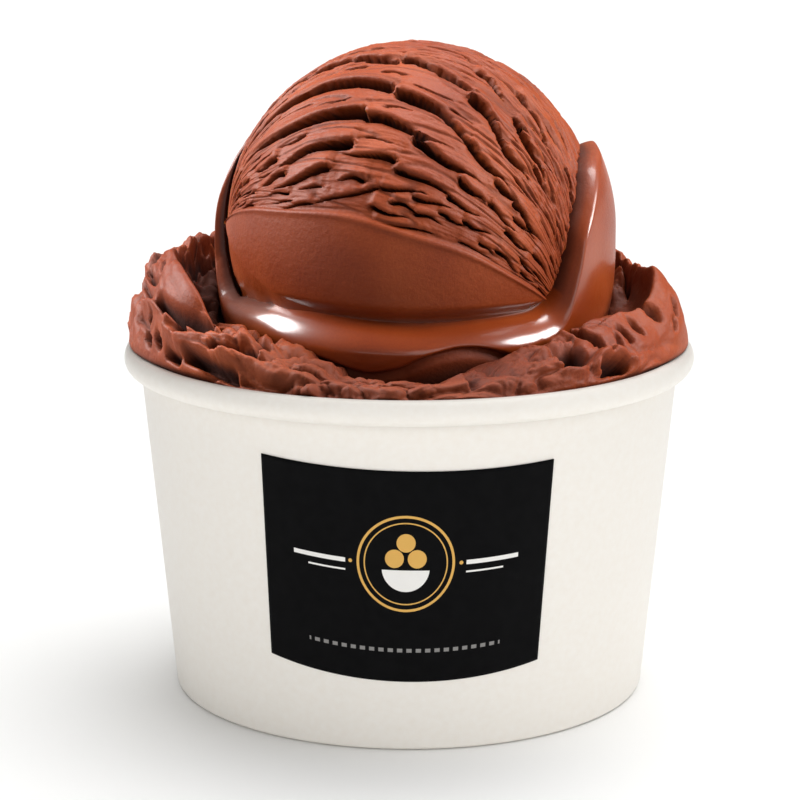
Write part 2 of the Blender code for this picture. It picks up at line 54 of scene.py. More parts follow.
# Label
LABEL_CENTRE = -0.9  # azimuth
LABEL_HALF_WIDTH = 30.8  # degrees round the wall
LABEL_LEAN = 1.0  # degrees
LABEL_TOP = 47.6 * MM
LABEL_BOTTOM = 14.3 * MM
LABEL_TOP_SAG = 0.9 * MM
LABEL_BOTTOM_SAG = 2.4 * MM
LABEL_THICKNESS = 0.15 * MM
GOLD, WHITE, GREY, BLACK = "#E0B060", "#F2F0EC", "#8C8A88", "#0D0D0E"
DASH_SPACING = 1.5
DASHES_REACH = 15.6
# The print, in millimetres from the label's middle: kind, centre, half sizes or radius and half width, ink
LABEL_PRINT = (
    ("disc", (0.0, 1.5), (0.0, 3.7), WHITE), ("bar", (0.0, 3.4), (4.0, 2.2), BLACK),
    ("disc", (-1.75, 3.0), (0.0, 1.45), GOLD), ("disc", (1.75, 3.0), (0.0, 1.45), GOLD),
    ("disc", (0.0, 5.5), (0.0, 1.45), GOLD),
    ("ring", (0.0, 2.2), (7.4, 0.2), GOLD), ("ring", (0.0, 2.2), (6.4, 0.1), GOLD),
    ("bar", (-13.6, 2.2), (4.2, 0.35), WHITE), ("bar", (13.6, 2.2), (4.2, 0.35), WHITE),
    ("bar", (-12.4, 0.7), (3.0, 0.14), WHITE), ("bar", (12.4, 0.7), (3.0, 0.14), WHITE),
    ("disc", (-8.6, 2.2), (0.0, 0.3), GOLD), ("disc", (8.6, 2.2), (0.0, 0.3), GOLD),
    ("dashes", (0.75, -11.6), (0.42, 0.3), GREY),
)

# Ball of gelato
BALL_CENTRE = Vector((0.6 * MM, 0.0, 77.2 * MM))
BALL_RADIUS = 30.6 * MM
LEFT_POLE = np.array((-0.995, -0.096, 0.032))
RIGHT_POLE = np.array((0.769, -0.519, -0.373))
ARC_LENGTH = 93.0 * MM  # over the ball from pole to pole
# Where the skin and the ridges begin and end, in degrees about the line between the poles
SKIN_START = 8.0
RIDGES_START = 57.0
RIDGES_END = 190.0
SKIN_THICKNESS = 0.35 * MM
SIGHT_PITCH = math.radians(9.3)  # how far above the ball's centre the eye is, for placing its cracks
SIGHT_END = 135.0  # the ridges beyond this angle are out of sight from the front
BALL_COLUMNS = (42, 250, 116, 12)  # across the skin, the ridges in front and behind, and what the collar hides
BALL_RINGS = 230
LIP_HEIGHT = 0.95 * MM
LIP_HANG = 0.42 * MM
LIP_ROLL = 1.9 * MM  # how far behind a crack its lip fades out
ROW_SPACING = 4.2  # degrees between the fine rows that run along the arcs

# The gaping cracks in sight: blunt end, tapered end and width, in millimetres right of and above the
# ball's centre as the front shows them
CRACKS = (
    (-1.7, 26.5, 7.8, 22.6, 1.3), (-2.7, 21.2, 7.8, 14.1, 1.7), (-7.8, 16.9, 2.0, 14.1, 1.4),
    (10.0, 24.9, 13.6, 21.4, 1.0), (8.8, 20.6, 14.1, 13.3, 1.6), (15.9, 17.1, 19.9, 9.1, 1.1),
    (16.9, 21.6, 20.6, 14.6, 0.7), (-0.3, 13.1, 7.6, 8.6, 1.5), (8.3, 12.8, 13.1, 7.8, 1.3),
    (14.1, 12.3, 17.1, 8.5, 1.0), (7.0, 7.3, 10.1, 4.6, 1.1), (12.8, 7.1, 16.1, 3.2, 0.9),
    (-3.0, 9.1, 5.8, 4.6, 0.9), (-5.3, 6.1, 0.5, 5.3, 0.7), (-3.6, 3.8, -0.2, 2.8, 0.8),
    (-6.8, 3.0, -2.5, 1.7, 0.8), (-6.3, 0.7, 1.2, -0.7, 0.6), (-0.3, 4.6, 4.5, 3.2, 0.7),
    (5.0, 4.3, 9.0, 2.3, 0.7), (0.0, 2.2, 3.3, 1.0, 0.7), (3.8, 2.0, 7.3, 0.5, 0.7),
    (7.6, 0.8, 10.9, -0.8, 0.7), (15.3, 3.5, 18.9, -0.7, 0.9), (19.1, 9.6, 21.1, 5.5, 0.7),
    (11.6, 3.6, 14.9, 0.2, 0.6), (10.1, -2.3, 12.1, -4.0, 0.6), (12.8, -3.5, 15.3, -6.0, 0.7),
    (14.1, -1.0, 17.1, -3.3, 0.8), (15.6, 1.5, 18.2, -1.2, 0.8), (16.7, -5.0, 18.6, -7.5, 0.6),
    (18.7, -4.1, 20.7, -7.1, 0.6), (-2.2, 26.2, -18.7, 23.2, 0.9), (-3.0, 21.6, -22.0, 18.0, 1.5),
    (-7.5, 17.2, -23.5, 13.3, 1.7), (-9.2, 13.3, -18.5, 10.8, 1.6), (-13.2, 9.0, -20.0, 6.7, 1.1),
    (-19.9, 8.3, -22.9, 7.1, 0.9), (-21.4, 10.4, -24.2, 9.1, 0.9), (-7.5, 7.3, -10.6, 7.5, 1.0),
    (-2.7, 10.0, -9.1, 11.4, 1.0), (-19.3, 5.4, -21.9, 5.2, 0.6), (-5.6, 6.0, -13.6, 4.1, 0.6),
    (-15.8, 3.7, -19.7, 3.1, 0.5),
)
CRACK_WIDENING = 1.4
CRACK_LENGTHENING = 1.3
SMALL_CRACKS, FAR_CRACKS = 125, 60  # in front and behind
CRACK_TRIES = 2500

# Collar. The tables hold an azimuth and a value: elevations in degrees, seen from the ball's centre, for
# the edges, shares for the tapers and millimetres for the rest
COLLAR_EDGE = (
    (0, -21), (30, -20.5), (44, -19.5), (49, -15.5), (53, -5), (56, 4), (61, 11), (66, 16.5), (72, 21.2),
    (80, 23.6), (88, 24.4), (95, 25.2), (99, 25.4), (102, 23.6), (108, 21.6), (130, 22.5), (150, 27), (168, 31),
    (-164, 34), (-136, 34), (-100, 29), (-92, 18), (-89, 5), (-87, -8), (-80, -18), (-46, -18.5),
)
EDGE_POINTS = 720
COLLAR_WAISTS = ((0, 32.4), (50, 33.1), (90, 33.6), (180, 33.5), (-90, 32.8), (-50, 32.5))
COLLAR_DEPTH = 31.2 * MM
COLLAR_POWER = 3.0
COLLAR_TAPERS = ((0, 0.1), (90, 0.1), (180, 0.3), (-105, 0.8), (-60, 0.4))
LIP_WIDTHS = (
    (0, 2.6), (40, 2.2), (54, 2.0), (80, 1.7), (95, 0.8), (110, 1.0), (180, 2.0), (-95, 1.0), (-74, 1.0),
    (-60, 2.4), (-35, 3.2),
)
SLOT_REACHES = (
    (0, 0.0), (90, 0.0), (180, 0.0), (-130, 0.0), (-112, 0.0), (-98, 3.5), (-80, 3.5), (-68, 0.0), (-40, 0.0),
)
TRENCH_DEPTHS = ((0, 1.5), (40, 1.7), (54, 1.9), (90, 1.5), (180, 1.5), (-95, 0.8), (-76, 0.5), (-60, 0.8), (-40, 1.2))
TRENCH_FLATS = ((0, 0.2), (40, 0.2), (54, 0.1), (90, 0.0), (180, 0.1), (-95, 0.5), (-76, 0.3), (-60, 0.1))
TRENCH_SLOPES = ((0, 3.2), (40, 2.6), (54, 1.2), (90, 0.9), (180, 1.4), (-95, 1.2), (-76, 1.3), (-60, 2.4))
DRAPE_EDGE = (
    (0, -27.9), (6, -25.6), (14, -24.2), (23, -25.0), (37, -30.0), (60, -36), (100, -42), (180, -46), (-110, -40),
    (-70, -28), (-46, -26.6), (-28, -28.2), (-14, -31.4), (-4, -29.8),
)
COLLAR_COLUMNS = 420
COLLAR_RINGS = 150

# Bed of gelato. The tables hold an azimuth and a height, radius or reach in millimetres, or a share
CONTACT_HEIGHTS = (
    (-2, 57.2), (9, 57.8), (22, 60.6), (35, 63.2), (48, 64.7), (60, 65.2), (68, 64.0), (80, 63.4), (95, 64.0),
    (180, 66.0), (-90, 65.0), (-60, 62.4), (-45, 62.4), (-34, 60.2), (-25, 58.8), (-14, 57.5),
)
CREST_HEIGHTS = (
    (-2, 58.3), (9, 58.9), (22, 61.0), (35, 63.3), (48, 64.9), (56, 65.4), (61, 65.7), (66, 65.9), (72, 67.4),
    (78, 69.6), (86, 70.6), (105, 69.4), (128, 72.4), (152, 70.2), (180, 72.0), (-152, 70.4), (-128, 73.4),
    (-106, 72.8), (-88, 73.4), (-70, 73.6), (-57, 70.6), (-51, 67.4), (-46, 65.2), (-40, 64.6), (-34, 62.6),
    (-27, 60.8), (-14, 58.9),
)
CREST_RADII = (
    (0, 38.4), (35, 38.0), (60, 38.2), (66, 39.6), (72, 40.8), (80, 40.6), (92, 39.0), (180, 38.6), (-95, 38.2),
    (-80, 39.2), (-64, 40.2), (-50, 41.0), (-42, 41.3), (-36, 40.6), (-28, 39.0), (-18, 38.2),
)
OVERHANGS = ((0, 0.0), (45, 0.2), (68, 1.6), (88, 2.5), (180, 2.2), (-88, 2.6), (-68, 1.8), (-45, 0.3))
# Two points of the section past the crest: radius where the bed is low and where it is full, how far past
# the crest at least where it is plain and where it curls, the share of the drop for each, and a lift
SHOULDERS = ((40.6, 41.2, 1.7, 2.6, 0.27, 0.15, 0.25), (42.6, 44.3, 3.0, 4.8, 0.58, 0.42, 0.4))
CRAG_HEIGHT = 1.65 * MM
CRAG_SIZE = 6.0 * MM
GAP_BESIDE_COLLAR = 4.2 * MM
NOISE_SEED = 4  # for the noise vectors, which otherwise go by the clock
CURLS = (
    (0, 0.0), (56, 0.0), (64, 0.7), (70, 1.0), (95, 0.8), (130, 0.4), (180, 0.7), (-140, 0.4), (-100, 0.9),
    (-60, 0.9), (-44, 0.0),
)
CRAGGINESS = (
    (0, 0.8), (48, 0.7), (60, 0.28), (72, 0.14), (90, 0.2), (106, 0.9), (180, 1.0), (-90, 0.9), (-74, 0.5),
    (-66, 0.25), (-54, 0.3), (-44, 0.9),
)
# How far painted shade darkens the bed beside the collar, as a share at each azimuth
SHADE_INSIDE = ((0, 0.8), (50, 0.7), (66, 0.3), (90, 0.4), (180, 0.6), (-90, 0.75), (-60, 0.6), (-30, 0.8))

# What the scoop left in the bed: half width, height or depth and squareness of each trace, in
# millimetres, and the points of azimuth and height that it runs through
ROLL, PIT, SLAB = 2, 3, 3.2
TRACES = (
    (2.4, 0.9, SLAB, (-75, 73.8), (-66, 71.9), (-55, 70.0), (-47, 69.3)),
    (0.75, -3.8, PIT, (-65, 68.6), (-60, 67.8), (-53, 66.8), (-49, 65.6)),
    (0.55, 1.1, ROLL, (-76, 65.8), (-71, 67.4), (-63, 67.6)), (0.7, -2.6, PIT, (-68, 66.2), (-67.6, 65.4)),
    (0.7, 1.4, ROLL, (-58, 66.4), (-58.4, 64.6), (-54, 63.6)), (0.8, -3.8, PIT, (-55.2, 65.9), (-54.4, 65.0)),
    (1.0, 0.6, SLAB, (-48, 65.8), (-44, 65.2)),
    (0.7, 1.6, ROLL, (-50, 62.6), (-45, 63.8), (-40, 64.2), (-36, 63.8)),
    (1.25, 2.0, SLAB, (-53, 63.0), (-44, 63.4), (-36, 61.8), (-28, 60.0), (-20, 58.8)),
    (0.9, -4.6, PIT, (-50, 61.2), (-44, 60.4), (-38, 59.4)), (0.8, -3.6, PIT, (-57, 61.0), (-53.6, 60.4)),
    (0.7, -3.4, PIT, (-68, 62.6), (-65.6, 61.8)), (0.7, -3.0, PIT, (-62.6, 63.4), (-61, 62.2)),
    (0.7, -3.6, PIT, (-34.6, 64.4), (-34.2, 62.4)), (0.5, -2.8, PIT, (-44, 62.9), (-38, 62.9), (-34, 61.9)),
    (0.6, 1.4, ROLL, (-38, 64.0), (-36.5, 64.6), (-33, 64.0), (-32, 62.4)),
    (0.9, 1.0, ROLL, (-32, 62.6), (-29, 63.2), (-25, 62.6), (-21, 61.6)),
    (0.55, -2.4, PIT, (-33, 62.7), (-28, 62.7), (-24, 62.3), (-20, 60.9)),
    (0.6, 0.9, ROLL, (-30, 61.6), (-26, 61.2), (-22, 60.2), (-18, 59.1)),
    (1.0, 1.0, ROLL, (-18, 61.2), (-18, 60.4)), (0.45, -1.7, PIT, (-16.6, 62.8), (-16.2, 62.0)),
    (0.5, -1.8, PIT, (-88, 69.7), (-79, 70.2), (-70, 70.6)), (0.45, -1.5, PIT, (-80, 68.6), (-70, 68.4)),
    (0.45, -1.2, PIT, (-81, 74.6), (-71, 72.2)), (0.5, -1.6, PIT, (-76, 64.5), (-68, 64.0)),
    (0.6, 0.9, ROLL, (23, 61.8), (30, 63.2), (38, 64.3), (47, 65.3)),
    (0.75, -4.6, PIT, (45, 64.4), (46, 63.6), (46.6, 62.8)), (1.0, -5.4, PIT, (35.6, 61.9), (37.4, 62.1), (39, 62.4)),
    (0.9, -5.2, PIT, (43.6, 60.2), (46, 60.2), (48.6, 59.8)), (0.6, -1.8, PIT, (39, 64.5), (41.5, 64.8)),
    (0.5, -1.4, PIT, (30, 63.6), (33, 64.2)), (0.8, -3.2, PIT, (20, 61.5), (23, 62.2), (26, 62.9)),
    (0.6, -2.2, PIT, (13, 59.9), (17, 60.6), (20, 61.1)),
    (0.8, 1.3, ROLL, (40.6, 60.2), (43, 61.7), (46, 62.1), (49.5, 61.6), (52, 60.4)),
    (0.8, 1.0, ROLL, (33, 60.4), (37, 60.4), (40, 60.8)),
    (1.3, 0.9, SLAB, (16, 61.1), (23, 63.3), (30, 64.7), (34, 65.2)),
    (0.5, -2.0, PIT, (57, 64.4), (56, 63.2)), (0.45, -1.4, PIT, (53, 63.6), (52, 62.8)),
    (0.5, -1.7, PIT, (62, 64.9), (60.4, 63.6)), (0.55, -2.0, PIT, (69, 66.2), (67.6, 65.0)),
    (0.45, -1.3, PIT, (72, 64.5), (71, 63.2)), (0.5, 1.6, ROLL, (42.6, 59.8), (43.6, 59.8)),
    (1.9, 0.7, ROLL, (84, 71.0), (80, 69.2), (72, 67.9), (62, 66.9)), (0.5, -1.4, PIT, (76, 66.6), (74, 65.2)),
    (0.5, 0.8, ROLL, (-12, 59.2), (-4, 58.6), (4, 58.8), (12, 59.6)), (0.5, 1.0, ROLL, (6, 59.4), (9, 60.0)),
)
FAR_TRACES = 120
BACK_FOLDS = 34
BED_MIDDLE = 42.0  # the radius, in millimetres, at which folds and traces are measured round the bed
BED_CORE = (37.0, 54.0)  # the radius and height, in millimetres, away from which the crags stand
WIDEST_BED = 47.3 * MM
EASED_FROM = 45.6 * MM
BED_COLUMNS = 760
BED_CROWDING = 18.0  # degrees by which columns are drawn towards the front
SEAT_RINGS = 6
EXPOSED_RINGS = 112
HIDDEN_RINGS = 10

# Patterns, in features to a metre
MIXED_PATCHES = 60.0  # 17 mm: where the churn mixed the chocolate unevenly
CRYSTAL_GRAIN = 2600.0  # 0.4 mm: ice crystals are about 0.05 mm, and drawn coarser so that they show
AIR_PITS = 900.0  # 1 mm, with finer ones in them: the largest of the air cells that a scoop tears open
BOARD_FLOCS = 900.0  # 1 mm: fibres are about 0.03 mm wide and show as the flocs that they gather in
LABEL_FLOCS = 500.0  # 2 mm: as in the board, in thinner paper

# Lights: name, azimuth, elevation, strength, spread in degrees, and what they fall on
LIGHTS = (
    ("room_top", 150.0, 72.0, 0.52, 60.0, "room"), ("room_front", -14.0, 20.0, 0.29, 60.0, "room"),
    ("room_right", 75.0, 25.0, 0.22, 60.0, "room"), ("floor_top", 150.0, 72.0, 0.36, 60.0, "ground"),
    ("left_key", -102.0, 34.0, 3.5, 38.0, "dish"), ("right_key", 76.0, 34.0, 2.6, 34.0, "dish"),
    ("top_key", 150.0, 72.0, 1.6, 30.0, "dish"), ("front_fill", 10.0, 15.0, 0.18, 40.0, "dish"),
)


def blend(low, high, share):
    """A value between two, a share of the way from the first."""
    return low + (high - low) * share


def smooth_step(value):
    """0 to 1 as a value goes from 0 to 1, level at both ends."""
    share = np.clip(value, 0.0, 1.0)
    return share * share * (3.0 - 2.0 * share)


def round_the_clock(table, azimuth):
    """A smooth closed curve through a table of (azimuth, value), read at an azimuth in degrees."""
    points = sorted((a % 360.0, v) for a, v in table)
    azimuth %= 360.0
    count = len(points)
    after = next((i for i, p in enumerate(points) if p[0] > azimuth), count)
    knots = []
    for offset in (-2, -1, 0, 1):
        turns, index = divmod(after + offset, count)
        knots.append((points[index][0] + 360.0 * turns, points[index][1]))
    (a0, v0), (a1, v1), (a2, v2), (a3, v3) = knots
    span = a2 - a1
    share = (azimuth - a1) / span
    slope1 = (v2 - v0) / (a2 - a0) * span
    slope2 = (v3 - v1) / (a3 - a1) * span
    square, cube = share * share, share**3
    return (
        (2 * cube - 3 * square + 1) * v1
        + (cube - 2 * square + share) * slope1
        + (3 * square - 2 * cube) * v2
        + (cube - square) * slope2
    )


class Clock:
    """A table of (azimuth, value) read many times: looked up in a fine list made once."""

    per_degree = 4

    def __init__(self, table):
        self.values = [round_the_clock(table, i / self.per_degree) for i in range(360 * self.per_degree + 1)]

    def __call__(self, azimuth):
        at = (azimuth % 360.0) * self.per_degree
        i = min(int(at), 360 * self.per_degree - 1)
        return blend(self.values[i], self.values[i + 1], at - i)


collar_edge = Clock(COLLAR_EDGE)
collar_waist = Clock(COLLAR_WAISTS)
collar_taper = Clock(COLLAR_TAPERS)
contact_height = Clock(CONTACT_HEIGHTS)
crest_height = Clock(CREST_HEIGHTS)
crest_radius = Clock(CREST_RADII)
rim_overhang = Clock(OVERHANGS)
lip_width = Clock(LIP_WIDTHS)
slot_reach = Clock(SLOT_REACHES)
trench_depth = Clock(TRENCH_DEPTHS)
trench_flat = Clock(TRENCH_FLATS)
trench_slope = Clock(TRENCH_SLOPES)
drape_edge = Clock(DRAPE_EDGE)
curl = Clock(CURLS)
cragginess = Clock(CRAGGINESS)
shade_inside = Clock(SHADE_INSIDE)


def direction_of(azimuth, elevation):
    """A unit vector at an azimuth and an elevation in degrees."""
    a, e = math.radians(azimuth), math.radians(elevation)
    return Vector((math.sin(a) * math.cos(e), -math.cos(a) * math.cos(e), math.sin(e)))


def collar_edge_at(azimuth):
    """The direction of the collar's edge from the ball's centre."""
    return direction_of(azimuth, collar_edge(azimuth))


def wall_radius(z):
    """The outer radius of the cup's wall at a height."""
    return FOOT_RADIUS + WALL_FLARE * z


# Colours and materials


def linear(hex_colour):
    """An sRGB hex colour as linear red, green, blue and alpha."""
    values = [int(hex_colour[i : i + 2], 16) / 255.0 for i in (1, 3, 5)]
    return (*[v / 12.92 if v <= 0.04045 else ((v + 0.055) / 1.055) ** 2.4 for v in values], 1.0)


def add_node(material, kind, settings=None, inputs=None, stops=()):
    """A shader node with its settings and colour stops, and its inputs set or linked by name or number."""
    tree = material.node_tree
    node = tree.nodes.new("ShaderNode" + kind)
    for key, value in (settings or {}).items():
        setattr(node, key, value)
    for key, value in (inputs or {}).items():
        if isinstance(value, bpy.types.NodeSocket):
            tree.links.new(value, node.inputs[key])
        else:
            node.inputs[key].default_value = value
    for i, (place, colour) in enumerate(stops):
        element = node.color_ramp.elements[i] if i < 2 else node.color_ramp.elements.new(place)
        element.position = place
        element.color = linear(colour)
    return node


def new_material(name, constants):
    """A Principled material with the sockets that are the same all over set on the shader itself."""
    material = bpy.data.materials.new(name)
    material.use_nodes = True
    shader = material.node_tree.nodes["Principled BSDF"]
    for key, value in constants.items():
        shader.inputs[key].default_value = value
    return material, shader


def churned_gelato():
    """Dense churned chocolate gelato: dull where it tore, darkened by painted shade in its cracks and creases, wet and
    shining where it melts.
    """
    constants = {
        "IOR": 1.40, "Specular IOR Level": 0.23, "Coat Roughness": 0.18, "Coat IOR": 1.45,
        "Subsurface Weight": 0.1, "Subsurface Scale": 0.8 * MM, "Subsurface Radius": (1.0, 0.35, 0.2),
    }
    material, shader = new_material("churned_chocolate_gelato", constants)
    link = material.node_tree.links.new
    place = add_node(material, "TexCoord").outputs["Object"]
    patches = add_node(material, "TexNoise", inputs={"Vector": place, "Scale": MIXED_PATCHES, "Detail": 2.0})
    grains = add_node(material, "TexNoise", inputs={"Vector": place, "Scale": CRYSTAL_GRAIN, "Detail": 4.0})
    fine, broad = grains.outputs["Fac"], patches.outputs["Fac"]
    mix = add_node(material, "Math", {"operation": "MULTIPLY_ADD"}, {0: fine, 1: 0.3, 2: broad})
    shades = ((0.4, "#591F07"), (0.65, "#65270A"), (0.9, "#723112"))
    colour = add_node(material, "ValToRGB", inputs={0: mix.outputs[0]}, stops=shades).outputs[0]
    # The hollow attribute is painted shade: it blends the colour towards near-black #240903 where cracks, creases, gaps
    # and cast shadow fall.
    hollow = add_node(material, "Attribute", {"attribute_name": "hollow"}).outputs["Fac"]
    shaded = add_node(material, "Mix", {"data_type": "RGBA"}, {"Factor": hollow, 6: colour, 7: linear("#240903")})
    link(shaded.outputs[2], shader.inputs["Base Color"])
    moist = add_node(material, "Attribute", {"attribute_name": "moist"}).outputs["Fac"]
    link(moist, shader.inputs["Coat Weight"])
    dull = add_node(material, "MapRange", inputs={"Value": fine, "To Min": 0.44, "To Max": 0.6})
    rough = add_node(material, "MapRange", inputs={"Value": moist, 3: dull.outputs[0], 4: 0.34})
    parched = add_node(material, "MapRange", inputs={"Value": hollow, 3: rough.outputs[0], 4: 0.85})
    link(parched.outputs[0], shader.inputs["Roughness"])
    sizes = {"Scale": AIR_PITS, "Detail": 5.0, "Roughness": 0.7}
    pits = add_node(material, "TexNoise", inputs={"Vector": place, **sizes})
    height = add_node(material, "MapRange", inputs={"Value": moist, 3: pits.outputs["Fac"], 4: 0.5})
    bump = add_node(material, "Bump", inputs={"Height": height.outputs[0], "Strength": 0.6, "Distance": 0.25 * MM})
    link(bump.outputs[0], shader.inputs["Normal"])
    return material


def coated_board():
    """Poly-coated white cup board: smooth satin with a faint fibre mottle under the coating."""
    material, shader = new_material("coated_cup_board", {"IOR": 1.5})
    link = material.node_tree.links.new
    place = add_node(material, "TexCoord").outputs["Object"]
    mottle = add_node(material, "TexNoise", inputs={"Vector": place, "Scale": BOARD_FLOCS, "Detail": 5.0})
    shades = ((0.2, "#F3EDE4"), (0.8, "#F7F3EC"))
    colour = add_node(material, "ValToRGB", inputs={0: mottle.outputs["Fac"]}, stops=shades)
    link(colour.outputs[0], shader.inputs["Base Color"])
    rough = add_node(material, "MapRange", inputs={"Value": mottle.outputs["Fac"], "To Min": 0.36, "To Max": 0.48})
    link(rough.outputs[0], shader.inputs["Roughness"])
    bump = add_node(material, "Bump", inputs={"Height": mottle.outputs["Fac"], "Strength": 0.12, "Distance": 0.05 * MM})
    link(bump.outputs[0], shader.inputs["Normal"])
    return material


def printed_label():
    """Black offset-printed label paper with a satin varnish, and a plain device in gold and white."""
    material, shader = new_material("printed_label_paper", {"IOR": 1.5, "Specular IOR Level": 0.04})
    link = material.node_tree.links.new
    place = add_node(material, "TexCoord").outputs["Object"]
    fibre = add_node(material, "TexNoise", inputs={"Vector": place, "Scale": LABEL_FLOCS, "Detail": 4.0})
    shades = ((0.3, "#0A0A0B"), (0.7, "#0F0F10"))
    colour = add_node(material, "ValToRGB", inputs={0: fibre.outputs["Fac"]}, stops=shades).outputs[0]
    flat = add_node(material, "UVMap", {"uv_map": "millimetres"}).outputs["UV"]
    split = add_node(material, "SeparateXYZ", inputs={0: flat})
    x, y = split.outputs["X"], split.outputs["Y"]
    for kind, centre, size, ink in LABEL_PRINT:
        if kind in ("ring", "disc"):
            distance = add_node(material, "VectorMath", {"operation": "DISTANCE"}, {0: flat, 1: (*centre, 0.0)})
            bounds = {0: distance.outputs["Value"], 1: size[0], 2: size[1]}
            mask = add_node(material, "Math", {"operation": "COMPARE"}, bounds).outputs[0]
        else:
            turned_x = x
            if kind == "dashes":
                turned_x = add_node(material, "Math", {"operation": "PINGPONG"}, {0: x, 1: DASH_SPACING}).outputs[0]
            mask = add_node(material, "Math", {"operation": "COMPARE"}, {0: turned_x, 1: centre[0], 2: size[0]})
            high = add_node(material, "Math", {"operation": "COMPARE"}, {0: y, 1: centre[1], 2: size[1]})
            mask = add_node(material, "Math", {"operation": "MULTIPLY"}, {0: mask.outputs[0], 1: high.outputs[0]})
            mask = mask.outputs[0]
            if kind == "dashes":
                wide = add_node(material, "Math", {"operation": "COMPARE"}, {0: x, 1: 0.0, 2: DASHES_REACH})
                mask = add_node(material, "Math", {"operation": "MULTIPLY"}, {0: mask, 1: wide.outputs[0]}).outputs[0]
        inked = {"Factor": mask, 6: colour, 7: linear(ink)}
        colour = add_node(material, "Mix", {"data_type": "RGBA"}, inked).outputs[2]
    link(colour, shader.inputs["Base Color"])
    rough = add_node(material, "MapRange", inputs={"Value": fibre.outputs["Fac"], "To Min": 0.5, "To Max": 0.6})
    link(rough.outputs[0], shader.inputs["Roughness"])
    return material


# Meshes


def in_scene(name, data):
    """An object in the scene."""
    thing = bpy.data.objects.new(name, data)
    bpy.context.scene.collection.objects.link(thing)
    return thing


def finished(name, mesh, material, node):
    """A piece on the body, standing for a CAD node."""
    piece = in_scene(name, mesh)
    mesh.materials.append(material)
    mesh.shade_smooth()
    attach(piece, "root")
    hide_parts(node)
    return piece


def mesh_of(bm, name):
    """A shape as a mesh."""
    mesh = bpy.data.meshes.new(name)
    bm.to_mesh(mesh)
    bm.free()
    return mesh


def closed_mesh_of(bm, name):
    """A closed shape as a mesh whose faces point outwards."""
    bmesh.ops.recalc_face_normals(bm, faces=bm.faces)
    if bm.calc_volume(signed=True) < 0.0:
        bmesh.ops.reverse_faces(bm, faces=bm.faces)
    return mesh_of(bm, name)


class RoundGrid:
    """A grid rolled up and closed at both ends, whose vertices are known by column and ring."""

    def __init__(self, columns, rings):
        self.bm = bmesh.new()
        # moist sets the coat; hollow is a share of painted shade that darkens the colour.
        for key in ("moist", "hollow"):
            self.bm.verts.layers.float.new(key)
        bmesh.ops.create_grid(self.bm, x_segments=columns, y_segments=rings, size=1.0)
        self.bm.verts.ensure_lookup_table()
        place = np.array([v.co.xy for v in self.bm.verts])
        column = np.rint((place[:, 0] + 1.0) / 2 * columns).astype(int)
        ring = np.rint((1.0 - place[:, 1]) / 2 * rings).astype(int)
        first = {}
        welds = {}
        for vertex, c, r in zip(list(self.bm.verts), column.tolist(), ring.tolist()):
            key = (0 if r in (0, rings) else c % columns, r)
            if key in first:
                welds[vertex] = first[key]
            else:
                first[key] = vertex
        bmesh.ops.weld_verts(self.bm, targetmap=welds)
        self.column = np.array([key[0] for key in first])
        self.ring = np.array([key[1] for key in first])
        self.verts = list(first.values())

    def moved_to(self, points, name, **values):
        """The mesh with its vertices in place, and named values from 0 to 1 at each of them."""
        for vertex, point in zip(self.verts, points):
            vertex.co = point
        for key, shares in values.items():
            layer = self.bm.verts.layers.float[key]
            for vertex, share in zip(self.verts, shares):
                vertex[layer] = share
        return closed_mesh_of(self.bm, name)


def strip_outline(path, thickness):
    """The closed outline of a strip of paper that follows a path of (radius, height) points."""
    points = [Vector(point) for point in path]
    steps = [(b - a).normalized() for a, b in zip(points, points[1:])]
    sides = ([], [])
    for i, point in enumerate(points):
        before, after = steps[max(i - 1, 0)], steps[min(i, len(steps) - 1)]
        along = (before + after).normalized()
        half = thickness / 2 / along.dot(after)
        for side, sign in zip(sides, (half, -half)):
            side.append((point.x + sign * along.y, point.y - sign * along.x))
    return sides[0][::-1] + sides[1]


def turned(outline, name):
    """A closed outline of (radius, height) points spun about Z."""
    bm = bmesh.new()
    verts = [bm.verts.new((r, 0.0, z)) for r, z in outline]
    edges = [bm.edges.new(pair) for pair in zip(verts, verts[1:] + verts[:1])]
    bmesh.ops.spin(
        bm, geom=verts + edges, cent=(0, 0, 0), axis=(0, 0, 1), angle=math.tau, steps=CUP_STEPS, use_merge=True
    )
    bmesh.ops.remove_doubles(bm, verts=bm.verts, dist=0.001 * MM)
    return closed_mesh_of(bm, name)


def make_wall(material):
    """The side of the cup: folded in at the foot round the base's skirt, and rolled out at the rim."""
    fold_offset = 2 * (PAPER + CLEARANCE)
    turn_radius = fold_offset / 2
    turn_z = PAPER / 2 + 0.6 * turn_radius + 0.01 * MM

    def middle(z):
        return wall_radius(z) - PAPER / 2

    centre = middle(turn_z) - turn_radius
    path = [(middle(FOLD_TOP) - fold_offset, FOLD_TOP)]
    for i in range(11):
        a = math.radians(180.0 + 18.0 * i)
        flat = 0.6 * turn_radius * math.sin(a)
        path.append((centre + turn_radius * math.cos(a), turn_z + flat))
    curl_r, curl_z = RIM_RADIUS - RIM_WIDTH / 2, CUP_HEIGHT - RIM_DEPTH / 2
    low = curl_z - RIM_DEPTH / 2
    path += [(middle(z), z) for z in (0.2 * low, 0.4 * low, 0.6 * low, 0.8 * low, 0.96 * low)]
    half_width, half_depth = (RIM_WIDTH - PAPER) / 2, (RIM_DEPTH - PAPER) / 2
    curl_steps = 26
    for i in range(curl_steps + 1):
        a = math.radians(blend(180.0, CURL_END, i / curl_steps))
        path.append((curl_r + half_width * math.cos(a), curl_z + half_depth * math.sin(a)))
    mesh = turned(strip_outline(path, PAPER), "paper_wall")
    return finished("paper_wall", mesh, material, "cup_wall")


